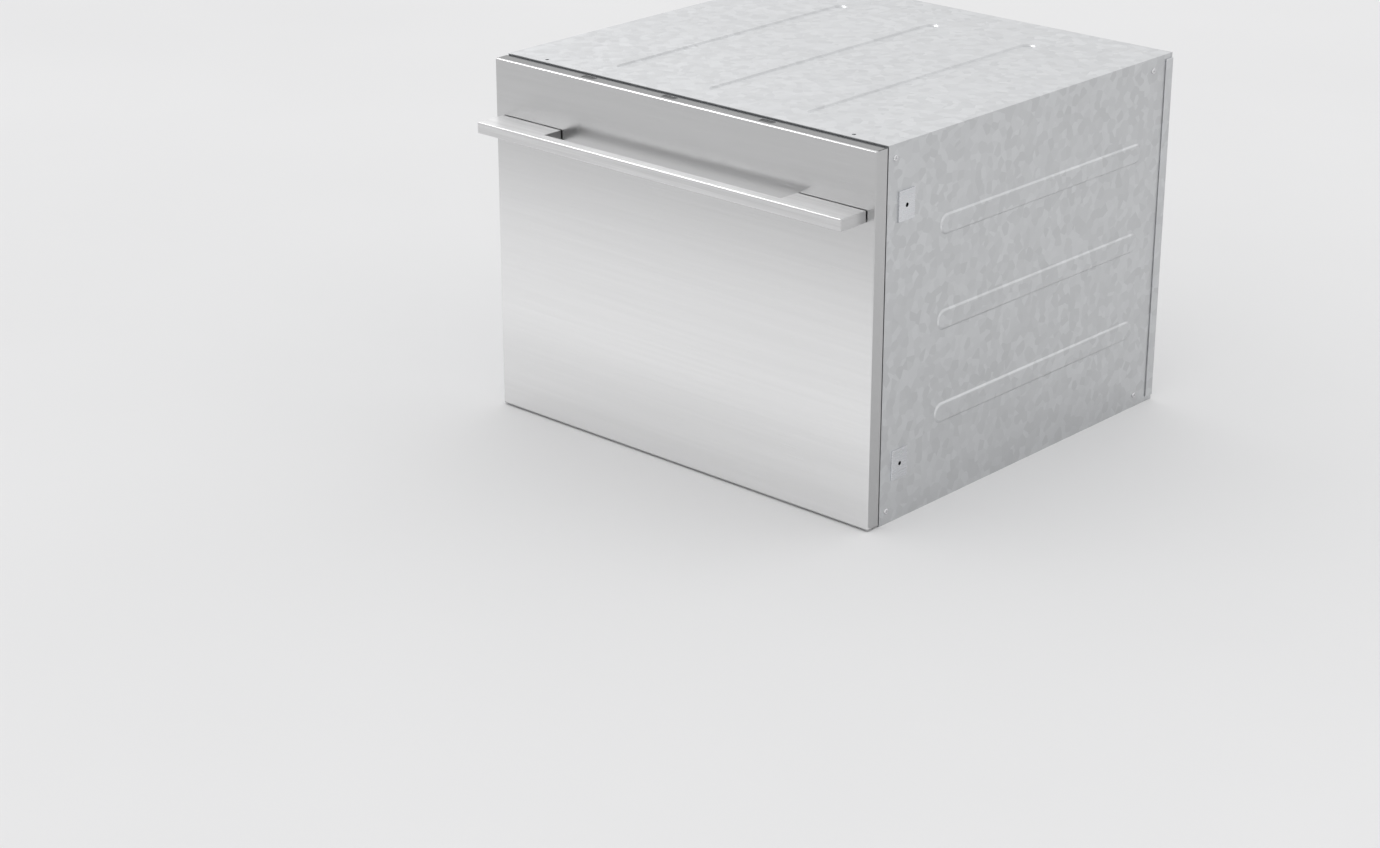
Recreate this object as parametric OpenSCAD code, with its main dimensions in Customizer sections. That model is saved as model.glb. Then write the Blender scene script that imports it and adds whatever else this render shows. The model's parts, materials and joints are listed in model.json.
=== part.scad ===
// Single built-in dishwasher drawer: a steel chassis, telescopic slides, a lid that
// lifts inside the chassis, and a tub that rolls out behind a flat brushed steel front.
// Millimetres. Origin: centre of the base under the whole product.
// +X is right as seen from the front, -Y points at the user, +Z is up.

/* [Chassis] */
// Width over the ribs of the side panels
chassis_w = 599; // [598:0.5:601]
// Height of the chassis
chassis_h = 454; // [454:1:460]
// Depth from the front panel's face to the back of the chassis
body_d = 573; // [570:1:576]
// Sheet thickness of the side panels
sheet_t = 1; // [0.8:0.1:1.2]
// How far the ribs of the side panels stand out
rib_h = 2; // [1.8:0.1:2]

/* [Front] */
// Width of the front panel
panel_w = 596; // [595:0.5:597]
// Height of the front panel
panel_h = 450; // [448:1:450]
// Thickness of the front panel with its folded edges
panel_t = 20; // [20:1:20]
// Sheet thickness of the steel skin
skin_t = 1; // [0.8:0.1:1]

/* [Handle] */
// Length of the handle
handle_len = 572; // [540:2:580]
// Height of the handle's square section
handle_h = 14; // [12:0.5:18]
// How far the handle stands out from the panel
handle_proj = 44; // [36:1:50]
// Depth of the slim bar between the end blocks
bar_d = 15.4; // [10:0.2:20]
// Length of each solid end block
block_len = 100; // [60:5:120]
// Top of the handle above the panel's lower edge
handle_top = 381; // [360:1:400]

/* [Lid] */
// How far the lid lifts off the tub
lid_lift = 12; // [8:1:12]

/* [Slides] */
// Length of each slide member
slide_len = 500; // [480:10:500]
// Height of the outer slide member
slide_h = 45; // [44:1:45]

/* [Racks] */
// Height of the folding tines above their rod
tine_h = 90; // [70:1:95]
// Spacing of the tines
tine_pitch = 25; // [25:1:25]

/* [Hidden] */
$fn = 48;

// Places along Y, from the user to the wall
yb = (body_d + handle_proj) / 2;      // back of the chassis
yf = yb - body_d;                     // face of the front panel
yp = yf + panel_t;                    // back of the door
yc0 = yp + 1.5;                       // front edge of the chassis
yfr = yp + 20.5;                      // back of the front frame
ybk = yb - 23.5;                      // outer face of the recessed back panel
ty0 = yp + 12.5;                      // tub, outer front
ty1 = ty0 + 457;                      // tub, outer back
ym = (ty0 + ty1) / 2;                 // middle of the tub, axis of spray arm and pump
yl = ym - 85;                         // axis of the filter cup

// Places along X, from the middle
xs = chassis_w / 2 - rib_h;           // outer face of the side sheet
xi = xs - sheet_t;                    // inner face of the side sheet
tx = 270;                             // tub, outer side
wall = 4;                             // tub wall

// Places along Z
pz0 = 2;                              // lower edge of the front panel
pz1 = pz0 + panel_h;                  // upper edge of the front panel
tz0 = 78;                             // underside of the tub floor
tz1 = 405;                            // top of the tub rim
lz0 = 413;                            // underside of the lid shell
lz1 = 432;                            // top of the lid shell
sz = 152.5;                           // middle height of the slides

// Slides: distances u run inwards from the side sheet
sy0 = yfr + 2;
sy1 = sy0 + slide_len;
st = 1.2;
cage_y0 = sy0 + 130;
cage_len = 240;

// Lid drive: a 16-tooth pinion of module 1.5 on each end of a cross shaft
pin_m = 1.5;
pin_z = 16;
pin_r = pin_m * pin_z / 2;
pitch = PI * pin_m;
rack_y = ty1 + 12;                    // pitch line of the racks
shaft_y = rack_y + pin_r;
shaft_z = 428;
half_t = 0.21 * pitch;                // half a tooth at the pitch line
add = pin_m;
ded = 1.9;

// Handle
hz1 = pz0 + handle_top;
hz0 = hz1 - handle_h;
hzm = (hz0 + hz1) / 2;
hx = handle_len / 2;

// Racks
gz0 = 130;                            // underside of the base rack's grid
gz1 = 134;
gx = 252;
gy0 = ty0 + 18;
gy1 = ty1 - 18;
fold_x = 170;
fold_z = 138.5;
row_y0 = ym - 81.5;                   // first tine of a folding row
clip_y = [row_y0 - tine_pitch / 2, row_y0 + 4.5 * tine_pitch, row_y0 + 10.5 * tine_pitch];
cup_x = 256;
cup_z = 250;

// Dispenser, in the tub's front wall
dx0 = -95; dx1 = 75; dz0 = 262; dz1 = 352;

function rr(w, d, r, n = 6) = [for (q = [0:3]) for (i = [0:n])
    let (a = q * 90 + i * 90 / n,
         cx = (q == 0 || q == 3 ? 1 : -1) * (w / 2 - r),
         cy = (q < 2 ? 1 : -1) * (d / 2 - r))
    [cx + r * cos(a), cy + r * sin(a)]];

module bx(x0, x1, y0, y1, z0, z1) translate([x0, y0, z0]) cube([x1 - x0, y1 - y0, z1 - z0]);
// Upright prism on a rounded rectangle
module rbox(x0, x1, y0, y1, z0, z1, r, n = 6)
    translate([(x0 + x1) / 2, (y0 + y1) / 2, z0]) linear_extrude(z1 - z0) polygon(rr(x1 - x0, y1 - y0, r, n));
module rod_y(x, z, r, y0, y1) translate([x, y0, z]) rotate([-90, 0, 0]) cylinder(r = r, h = y1 - y0);
module rod_x(y, z, r, x0, x1) translate([x0, y, z]) rotate([0, 90, 0]) cylinder(r = r, h = x1 - x0);
module rod_z(x, y, r, z0, z1) translate([x, y, z0]) cylinder(r = r, h = z1 - z0);
module both() { children(); mirror([1, 0, 0]) children(); }
// A section drawn in X and Z, run along Y
module along_y(y0, y1, pts) translate([0, y1, 0]) rotate([90, 0, 0]) linear_extrude(y1 - y0) polygon(pts);
// A section drawn in Y and Z, run along X
module along_x(x0, x1, pts) translate([x0, 0, 0]) rotate([90, 0, 90]) linear_extrude(x1 - x0) polygon(pts);
// Flat grid of square bars with n by m openings
module grid(x0, x1, y0, y1, z0, z1, n, m, t)
    difference() {
        bx(x0, x1, y0, y1, z0, z1);
        for (i = [0:n - 1], j = [0:m - 1])
            let (px = (x1 - x0 - t) / n, py = (y1 - y0 - t) / m)
            bx(x0 + t + i * px, x0 + (i + 1) * px, y0 + t + j * py, y0 + (j + 1) * py, z0 - 1, z1 + 1);
    }

// ---------------------------------------------------------------- chassis

// Galvanised floor of the chassis, a shallow tray that catches a leak
module base_tray() color("#b9bcbf") {
    bx(-xi, xi, yc0, yb, 0, 2);
    both() bx(xi - 2, xi, yfr, ybk - 1.2, 2, 26);
    bx(-xi + 2, xi - 2, ybk - 3.2, ybk - 1.2, 2, 26);
    bx(-xi + 2, xi - 2, yfr, yfr + 2, 2, 9);
}

// One side of the chassis with its long ribs; s is -1 for left and 1 for right
module side_panel(s) {
    difference() {
        union() {
            bx(s > 0 ? xi : -xs, s > 0 ? xs : -xi, yc0, yb, 0, chassis_h);
            for (z = [110, 225, 340])
                translate([s > 0 ? xs : -xs - rib_h, (yc0 + yb) / 2 + 20, z]) rotate([90, 0, 90])
                    linear_extrude(rib_h) polygon(rr(400, 26, 12.9));
            bx(s > 0 ? xs : -xs - rib_h, s > 0 ? xs + rib_h : -xs, yb - 14, yb, 6, chassis_h - 6);
        }
        for (z = [70, 380]) bx(s * xs - 4, s * xs + 4, yfr + 2, yfr + 26, z - 12, z + 12);
    }
}
module side_panel_left() color("#b9bcbf") side_panel(-1);
module side_panel_right() color("#b9bcbf") side_panel(1);

// Back sheet, set in so that the water and power connections stay inside the depth
module back_panel() color("#b9bcbf")
    difference() {
        bx(-xi, xi, ybk - 1.2, ybk, 2, chassis_h - 1);
        rod_y(-200, 60, 17, ybk - 3, ybk + 3);
        rod_y(-140, 60, 12, ybk - 3, ybk + 3);
        rod_y(-80, 60, 9, ybk - 3, ybk + 3);
    }

// Thin lid of the chassis, stiffened by three flat ribs
module top_panel() color("#b9bcbf") {
    difference() {
        bx(-xi, xi, yc0, yb, chassis_h - 1, chassis_h);
        for (x = [-240, 240]) rod_z(x, yc0 + 10, 2.5, chassis_h - 3, chassis_h + 1);
    }
    both() bx(xi - 1, xi, yfr, ybk - 1.2, chassis_h - 9, chassis_h - 1);
    for (x = [-150, 0, 150]) bx(x - 10, x + 10, yfr + 20, ybk - 60, chassis_h - 3, chassis_h - 1);
}

// Moulded frame round the mouth of the chassis, notched where the slides run out
module front_frame() color("#3a3c3e")
    difference() {
        bx(-xi + 0.2, xi - 0.2, yc0 + 1, yfr, 2, chassis_h - 1.2);
        bx(-284, 284, yc0, yfr + 1, 9.8, 447);
        both() bx(283.9, xi - 1.5, yc0, yfr + 1, sz - slide_h / 2 - 3, sz + slide_h / 2 + 3);
    }

// Soft bead that the closed door meets, above the slides and across the top
module front_seal() color("#222222")
    difference() {
        bx(-294, 294, yp + 0.3, yc0 + 1, 186, 450);
        bx(-287, 287, yp - 1, yc0 + 2, 180, 448);
    }

// Four steel tabs that are screwed to the cabinet beside the drawer
module fixing_brackets() color("#9a9c9e")
    both() for (z = [70, 380])
        difference() {
            bx(xs, xs + rib_h, yfr, yfr + 28, z - 18, z + 18);
            rod_x(yfr + 14, z, 2.5, xs - 1, xs + 4);
        }

// Fixed members of the telescopic slides
module slide_outers() color("#a8abad")
    both() difference() {
        along_y(sy0, sy1, [for (p = [[0, -1], [10.5, -1], [10.5, -1 + 2 * st / slide_h], [st, -1 + 2 * st / slide_h], [st, 1 - 2 * st / slide_h], [10.5, 1 - 2 * st / slide_h], [10.5, 1], [0, 1]])
            [xi - p[0], sz + p[1] * slide_h / 2]]);
        for (y = [sy0 + 30, sy1 - 30]) rod_x(y, sz, 2.6, xi - 4, xi + 1);
    }

// Four posts that hang from the top sheet and guide the lid
module lid_guide_posts() color("#c8cacc")
    both() for (y = [ym - 186.5, ym + 193.5]) {
        rod_z(278, y, 2.5, 420, chassis_h - 3);
        rod_z(278, y, 4.5, chassis_h - 3, chassis_h - 1);
    }

// Gear motor that turns the lid's cross shaft
module lid_motor() color("#2c2e30")
    difference() {
        union() {
            rbox(-228, -188, rack_y + 3, ybk - 3, 404, 448, 5);
            rod_x(ybk - 17, 424, 11, -188, -130);
            bx(-226, -190, rack_y + 14, ybk - 12, 448, chassis_h - 1);
        }
        rod_x(shaft_y, shaft_z, 4.06, -240, -180);
    }

// Two plain bearings that carry the cross shaft
module shaft_bearings() color("#e6e6e2")
    both() difference() {
        union() {
            bx(250, 258, shaft_y - 9, shaft_y + 9, shaft_z - 9, chassis_h - 1);
            bx(250, 268, shaft_y - 9, shaft_y + 9, chassis_h - 5, chassis_h - 1);
        }
        rod_x(shaft_y, shaft_z, 4.06, 240, 270);
    }

// Water valve: body, solenoid coil and the threaded stub for the supply hose
module inlet_valve() color("#e8e8e4") {
    bx(-222, -178, ybk - 36, ybk - 1.2, 42, 78);
    rod_z(-200, ybk - 19, 14, 78, 112);
    rod_y(-200, 60, 13.22, ybk - 1.2, ybk + 17);
    bx(-190, -178, ybk - 46, ybk - 36, 54, 66);
}

// Ribbed spigot for the waste hose
module drain_outlet() color("#55585a")
    difference() {
        union() {
            bx(-155, -125, ybk - 20, ybk - 1.2, 45, 75);
            rod_y(-140, 60, 10, ybk - 1.2, ybk + 21);
        }
        rod_y(-140, 60, 7.5, ybk - 16, ybk + 22);
    }

// Gland that the mains lead leaves by
module cable_gland() color("#1c1d1e")
    difference() {
        union() {
            rod_y(-80, 60, 8.7, ybk - 12, ybk);
            translate([-80, ybk, 60]) rotate([-90, 0, 0]) cylinder(r = 12, h = 9, $fn = 6);
            rod_y(-80, 60, 8, ybk + 9, ybk + 14);
        }
        rod_y(-80, 60, 4.5, ybk - 13, ybk + 15);
    }

// Box with the power supply board
module power_box() color("#dcdedc") {
    rbox(60, 230, ybk - 44, ybk - 1.2, 120, 300, 6);
    for (z = [140, 280]) bx(44, 60, ybk - 5, ybk - 1.2, z - 8, z + 8);
    bx(110, 180, ybk - 40, ybk - 8, 100, 120);
}

// Screw heads that hold sheets, frame and brackets
module chassis_screws() color("#d0d2d4") {
    both() for (y = [yc0 + 12, yb - 40], z = [16, chassis_h - 16]) rod_x(y, z, 3.6, xs, xs + 1.6);
    for (x = [-280, -140, 0, 140, 280]) rod_y(x, chassis_h - 14, 3.6, ybk, ybk + 1.8);
    for (x = [-280, 0, 140, 280]) rod_y(x, 14, 3.6, ybk, ybk + 1.8);
}

// ---------------------------------------------------------------- lid and its drive

module lid_shaft() color("#c8cacc") rod_x(shaft_y, shaft_z, 4, -261, 261);

// Tooth outline of a pinion: a tooth gap faces the rack at rest
function pinion_pts() = [for (i = [0:pin_z - 1])
    let (a = 180 + (i + 0.5) * 360 / pin_z,
         hr = (half_t + ded * tan(20)) / (pin_r - ded) * 180 / PI,
         ht = (half_t - add * tan(20)) / (pin_r + add) * 180 / PI)
    for (k = [[-hr, pin_r - ded], [-ht, pin_r + add], [ht, pin_r + add], [hr, pin_r - ded]])
    [shaft_y + k[1] * cos(a + k[0]), shaft_z + k[1] * sin(a + k[0])]];

module lid_pinions() color("#efece2")
    both() difference() {
        along_x(235.5, 244.5, pinion_pts());
        rod_x(shaft_y, shaft_z, 4, 230, 250);
    }

// Hollow moulded lid with four guide holes
module lid_shell() color("#c9cccd")
    difference() {
        rbox(-282.5, 282.5, ty0 - 7, ty1 + 6, lz0, lz1, 12);
        rbox(-258, 258, ty0 + 12, ty1 - 12, lz0 - 1, lz1 - 3, 20);
        both() for (y = [ym - 186.5, ym + 193.5]) rod_z(278, y, 2.56, lz0 - 1, lz1 + 1);
    }

// Steel sheet that closes the lid's underside
module lid_liner() color("#d4d6d8") rbox(-262, 262, ty0 + 8, ty1 - 8, lz0 - 1.2, lz0, 24);

// Soft ring above the tub rim
module lid_seal() color("#5b5e60")
    difference() {
        rbox(-273.5, 273.5, ty0 - 3.5, ty1 + 3.5, tz1 + 0.6, lz0, 32, 8);
        rbox(-266.5, 266.5, ty0 + 3.5, ty1 - 3.5, tz1, lz0 + 1, 25, 8);
    }

// Toothed bars on the lid's back edge
module lid_racks() color("#efece2")
    both() along_x(235, 245, concat(
        [[ty1 + 6, lz1 + 6], [ty1 + 6, lz0 - 3], [rack_y - ded, lz0 - 3]],
        [for (k = [-3:2]) for (q = [[-(half_t + ded * tan(20)), -ded], [-(half_t - add * tan(20)), add], [half_t - add * tan(20), add], [half_t + ded * tan(20), -ded]])
            [rack_y + q[1], shaft_z + k * pitch + q[0]]],
        [[rack_y - ded, lz1 + 6]]));

// ---------------------------------------------------------------- slides that travel

module slide_middles() color("#b4b7b9")
    both() along_y(sy0, sy1, [for (p = [[2, -17], [11.8, -17], [11.8, -15.8], [3.2, -15.8], [3.2, 15.8], [11.8, 15.8], [11.8, 17], [2, 17]])
        [xi - p[0], sz + p[1]]]);

// A strip with its balls, at inward distance u and height v
module cage(u, v, u0, u1) {
    bx(xi - u1, xi - u0, cage_y0, cage_y0 + cage_len, sz + v - 0.5, sz + v + 0.5);
    for (i = [0:7]) translate([xi - u, cage_y0 + 15 + i * 30, sz + v]) sphere(r = 1.9, $fn = 24);
}
module outer_ball_cages() color("#8d9092") both() for (s = [-1, 1]) cage(6, s * 19.15, 3, 9);
module inner_ball_cages() color("#8d9092") both() for (s = [-1, 1]) cage(8.5, s * 13.65, 5.5, 11.5);

module slide_inners() color("#c0c2c4")
    both() along_y(sy0, sy1, [for (p = [[5.5, -11.5], [13, -11.5], [13, 11.5], [5.5, 11.5], [5.5, 10.3], [11.8, 10.3], [11.8, -10.3], [5.5, -10.3]])
        [xi - p[0], sz + p[1]]]);

// ---------------------------------------------------------------- drawer front

// Brushed steel skin: one flat face with folded edges
module front_panel() color("#c6c8ca")
    difference() {
        bx(-panel_w / 2, panel_w / 2, yf, yp - 1, pz0, pz1);
        bx(-panel_w / 2 + skin_t, panel_w / 2 - skin_t, yf + skin_t, yp, pz0 + skin_t, pz1 - skin_t);
        bx(-panel_w / 2 + skin_t, panel_w / 2 - skin_t, yf + 4, yp, pz1 - 4, pz1 + 1);
        for (s = [-1, 1], d = [25, 75]) rod_y(s * (hx - d), hzm, 3, yf - 1, yf + 3);
    }

// Moulded back of the door, a shallow pan inside the skin's edges
module inner_panel() color("#4a4c4e")
    difference() {
        bx(-panel_w / 2 + 1.6, panel_w / 2 - 1.6, yf + 8, yp, pz0 + 1.6, pz1 - 13);
        bx(-panel_w / 2 + 3.6, panel_w / 2 - 3.6, yf + 7, yp - 1.5, pz0 + 3.6, pz1 - 15);
    }

// Felt pad between the skin and the inner panel, below the handle's screws
module panel_insulation() color("#6e6a64")
    translate([0, yp - 3, 188]) rotate([90, 0, 0]) linear_extrude(panel_t - 5) polygon(rr(560, 340, 10));

// Square bar with a solid block at each end, cut from one piece
module handle() color("#cfd1d3")
    difference() {
        translate([0, 0, hz0]) linear_extrude(handle_h) polygon([
            [-hx, yf - handle_proj], [hx, yf - handle_proj], [hx, yf], [hx - block_len, yf],
            [hx - block_len, yf - handle_proj + bar_d], [-hx + block_len, yf - handle_proj + bar_d],
            [-hx + block_len, yf], [-hx, yf]]);
        for (s = [-1, 1], d = [25, 75]) rod_y(s * (hx - d), hzm, 2.5, yf - 14, yf + 1);
    }

module handle_screws() color("#b8babc")
    for (s = [-1, 1], d = [25, 75]) {
        rod_y(s * (hx - d), hzm, 2.4, yf - 12, yf + skin_t);
        rod_y(s * (hx - d), hzm, 5, yf + skin_t, yf + skin_t + 3.5);
    }

// Dark strip in the door's top edge that carries the display and the buttons
button_x = [-150, -20, 130];
by = (yf + 4.5 + yp - 0.6) / 2;
module control_strip() color("#17181a")
    difference() {
        bx(-panel_w / 2 + 1.6, panel_w / 2 - 1.6, yf + 4.5, yp - 0.6, pz1 - 12, pz1);
        bx(-panel_w / 2 + 4, panel_w / 2 - 4, yf + 6.5, yp - 2.6, pz1 - 13, pz1 - 2.5);
        for (x = button_x) rbox(x - 10.3, x + 10.3, by - 4.3, by + 4.3, pz1 - 4, pz1 + 1, 2.3);
        bx(38, 92, by - 5, by + 5, pz1 - 1.2, pz1 + 1);
    }
module display_window() color("#0c1014") bx(38.1, 91.9, by - 4.9, by + 4.9, pz1 - 1.2, pz1);
module button(x) {
    rbox(x - 10, x + 10, by - 4, by + 4, pz1 - 5, pz1 - 0.2, 2);
    bx(x - 12, x + 12, by - 4.8, by + 4.8, pz1 - 5.2, pz1 - 3.6);
}
module power_button() color("#3d4043") button(button_x[0]);
module program_button() color("#3d4043") button(button_x[1]);
module start_button() color("#3d4043") button(button_x[2]);

// ---------------------------------------------------------------- tub and wash system

module well(r1, r2, z0, z1) { rod_z(0, ym, r1, z0, z1); rod_z(0, yl, r2, z0, z1); }

module tub() color("#b7bcc0")
    difference() {
        union() {
            rbox(-tx, tx, ty0, ty1, tz0, tz1, 30, 8);
            rbox(-tx - 8, tx + 8, ty0 - 6, ty1 + 6, tz1 - 6, tz1, 34, 8);
            both() for (y = [ym - 180, ym - 90, ym, ym + 90, ym + 180]) bx(tx - 1, tx + 6, y - 1.5, y + 1.5, 192, tz1 - 5);
            for (x = [-200, -100, 0, 100, 200]) bx(x - 1.5, x + 1.5, ty1 - 1, ty1 + 5, 92, tz1 - 5);
        }
        rbox(-tx + wall, tx - wall, ty0 + wall, ty1 - wall, tz0 + wall, tz1 + 1, 26, 8);
        well(66, 40, tz0 - 1, tz0 + wall + 1);
        bx(dx0 + 5, dx1 - 5, ty0 - 1, ty0 + wall + 1, dz0 + 5, dz1 - 5);
    }

// Steel brackets that carry the tub on the inner slide members and hold the door
module runner_brackets() color("#9fa2a4")
    both() {
        bx(xi - 14.5, xi - 13, yp + 1.5, sy1, sz - 24, sz + 24);
        bx(tx, xi - 14.5, ty0, ty1, sz - 24, sz - 22.5);
        bx(xi - 34, xi - 13, yp, yp + 1.5, sz - 24, sz + 24);
    }

// Two-lobed well under the tub floor
module sump() color("#e1e3e0")
    difference() {
        union() {
            well(70, 44, 31, tz0);
            well(74, 48, tz0 - 3, tz0);
            bx(60, 74, ym - 14, ym + 14, 36, 64);
        }
        well(66, 40, 35, tz0 + 1);
        rod_z(0, ym, 5.06, 30, 36);
        rod_x(ym, 50, 9, 55, 75);
    }

module wash_motor() color("#2e3133")
    difference() {
        union() {
            rod_z(0, ym, 62, 17, 31);
            rod_z(0, ym, 54, 13, 17);
            bx(-84, -58, ym - 12, ym + 12, 18, 29);
        }
        rod_z(0, ym, 5.06, 18, 32);
    }

module drain_pump() color("#35383a") {
    rod_x(ym, 50, 20, 74, 98);
    rod_x(ym, 50, 17, 98, 142);
    rod_z(86, ym + 30, 8, 30, 52);
    bx(80, 92, ym + 15, ym + 30, 44, 56);
}

module heater_plate() color("#9b7f62")
    difference() {
        rod_z(0, ym, 108, 71, tz0);
        rod_z(0, ym, 77, 70, tz0 + 1);
        rod_z(0, yl, 56, 70, tz0 + 1);
        bx(-20, 20, yl - 90, yl, 70, tz0 + 1);
    }

// Floor plate with strainer slots and the hollow post that carries the spray arm
module filter_plate() color("#8f9599")
    difference() {
        union() {
            rbox(-150, 150, ym - 150, ym + 150, tz0 + wall, tz0 + wall + 3, 30);
            rod_z(0, ym, 16, 62, 102);
        }
        rod_z(0, ym, 12, 60, 104);
        rod_z(0, yl, 33, tz0, tz0 + 10);
        for (a = [0:15:345]) if (a < 240 || a > 300)
            translate([0, ym, tz0 + wall - 1]) rotate([0, 0, a]) translate([24, -1.5, 0]) cube([34, 3, 6]);
    }

module motor_controller() color("#3b3f42") {
    rbox(-230, -130, ym + 40, ym + 160, 24, 68, 6);
    for (x = [-220, -140], y = [ym + 50, ym + 150]) rod_z(x, y, 5, 68, tz0);
}

module dispenser() color("#d9dbdc")
    difference() {
        union() {
            bx(dx0 + 5.3, dx1 - 5.3, ty0 - 11, ty0 + wall, dz0 + 5.3, dz1 - 5.3);
            bx(dx0, dx1, ty0 + wall, ty0 + wall + 4, dz0, dz1);
            for (x = [-82, -16]) bx(x, x + 4, ty0 + wall + 4, ty0 + wall + 9, dz0 + 6, dz0 + 14);
        }
        bx(-82, -12, ty0 - 8, ty0 + wall + 5, dz0 + 18, dz1 - 16);
        for (x = [-83, -17]) rod_x(ty0 + wall + 6.5, dz0 + 10, 1.56, x, x + 6);
        rod_y(35, (dz0 + dz1) / 2, 15.3, ty0 + wall + 2, ty0 + wall + 5);
        rod_y(35, (dz0 + dz1) / 2, 9, ty0 - 8, ty0 + wall + 5);
    }

module dispenser_flap() color("#eceded") {
    bx(-84, -10, ty0 + wall + 4.4, ty0 + wall + 7.4, dz0 + 16, dz1 - 12);
    for (x = [-77, -27]) bx(x, x + 10, ty0 + wall + 5, ty0 + wall + 7.4, dz0 + 9.2, dz0 + 17);
    rod_x(ty0 + wall + 6.5, dz0 + 10, 1.5, -81.5, -12.5);
}

module rinse_aid_cap() color("#5d7f96") {
    rod_y(35, (dz0 + dz1) / 2, 15, ty0 + wall + 2.2, ty0 + wall + 6);
    rod_y(35, (dz0 + dz1) / 2, 8.8, ty0 + wall - 4, ty0 + wall + 2.2);
    bx(22, 48, ty0 + wall + 6, ty0 + wall + 11, (dz0 + dz1) / 2 - 2.5, (dz0 + dz1) / 2 + 2.5);
}

// Rotor with its shaft and blades
module impeller() color("#f0efe9") {
    rod_z(0, ym, 5, 19, 39);
    rod_z(0, ym, 50, 38, 41);
    rod_z(0, ym, 10, 41, 54);
    for (a = [0:45:315]) translate([0, ym, 41]) rotate([0, 0, a]) translate([9, -1.5, 0]) cube([38, 3, 14]);
}

// Two-armed sprayer with a hub that turns on the post
module spray_arm() color("#8b9094")
    difference() {
        union() {
            translate([0, ym, 104]) linear_extrude(12) polygon([
                for (s = [0, 180]) for (p = [[208, -11], [212, -6], [212, 6], [208, 11], [150, 17], [70, 22], [36, 32], [12, 38], [-12, 38], [-36, 32]])
                [p[0] * cos(s) - p[1] * sin(s), p[0] * sin(s) + p[1] * cos(s)]]);
            rod_z(0, ym, 21, 95, 104);
            for (i = [0:7], s = [-1, 1]) rod_z(s * (45 + i * 21), ym + s * 5, 3.2, 116, 117.2);
        }
        rod_z(0, ym, 16.07, 90, 103);
        rod_z(0, ym, 12, 102, 111);
    }

// Cup with a grip that turns out of the filter plate
module fine_filter() color("#a9afb3")
    difference() {
        union() {
            rod_z(0, yl, 32, 52, 90);
            rod_z(0, yl, 36, tz0 + wall + 3.3, 90);
        }
        rod_z(0, yl, 29, 55, 91);
        for (a = [0:30:330]) translate([0, yl, 60]) rotate([0, 0, a]) translate([25, -4, 0]) cube([10, 8, 14]);
    }

// ---------------------------------------------------------------- racks

module base_rack() color("#c9ccd0")
    difference() {
        union() {
            grid(-gx, gx, gy0, gy1, gz0, gz1, 16, 13, 4);
            for (y = [gy0, gy1 - 4]) difference() {
                bx(-gx, gx, y, y + 4, gz1 - 1, 162);
                for (i = [0:15]) bx(-gx + 4 + i * 31.25, -gx + 31.25 + i * 31.25, y - 1, y + 5, gz1, 158);
            }
            both() difference() {
                bx(gx - 4, gx, gy0, gy1, gz1 - 1, 162);
                for (i = [0:12]) let (p = (gy1 - gy0 - 4) / 13) bx(gx - 5, gx + 1, gy0 + 4 + i * p, gy0 + (i + 1) * p, gz1, 158);
            }
            for (x = [-203, 203], y = [ym - 165, ym + 165]) {
                bx(x - 5, x + 5, y - 5, y + 5, tz0 + wall, gz0 + 1);
                bx(x - 18, x + 18, y - 3, y + 3, gz0, gz1);
            }
            both() for (y = clip_y) {
                bx(fold_x - 5, fold_x + 5, y - 5, y + 5, gz0, fold_z + 5);
                bx(fold_x - 18, fold_x + 18, y - 3, y + 3, gz0, gz1);
            }
        }
        both() rod_y(fold_x, fold_z, 2.26, gy0 + 40, gy1 - 10);
    }

// A rod with upright tines
module comb(x, z, y0, n, h, lead) {
    rod_y(x, z, 2.2, y0 - lead, y0 + (n - 1) * tine_pitch + lead);
    for (i = [0:n - 1]) translate([x, y0 + i * tine_pitch, z]) rotate([0, 0, 22.5]) cylinder(r = 1.9, h = h, $fn = 8);
}
module centre_tines() color("#c9ccd0")
    both() {
        comb(60, 136.6, ym - 30, 9, 97, 12);
        for (y = [ym - 40, ym + 180]) bx(58, 62, y - 2, y + 2, gz1, 136.6);
    }
module tine_row_left() color("#c9ccd0") comb(-fold_x, fold_z, row_y0, 11, tine_h, 21);
module tine_row_right() color("#c9ccd0") comb(fold_x, fold_z, row_y0, 11, tine_h, 21);

module rack_posts() color("#8e9498")
    both() for (y = clip_y) difference() {
        bx(gx, gx + 8, y - 5, y + 5, gz0, cup_z + 6);
        rod_y(cup_x, cup_z, 2.26, y - 6, y + 6);
    }

// Shelf for cups that folds up against the tub wall
module cup_rack() {
    rod_y(cup_x, cup_z, 2.2, clip_y[0] - 8, clip_y[2] + 8);
    grid(166, 246, clip_y[0], clip_y[2], cup_z - 2, cup_z + 2, 4, 11, 3);
    for (y = [clip_y[0] + 30, clip_y[1] - 20, clip_y[1] + 20, clip_y[2] - 30]) bx(245, cup_x, y - 2, y + 2, cup_z - 1.5, cup_z + 1.5);
}
module cup_rack_left() color("#c9ccd0") mirror([1, 0, 0]) cup_rack();
module cup_rack_right() color("#c9ccd0") cup_rack();

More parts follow.
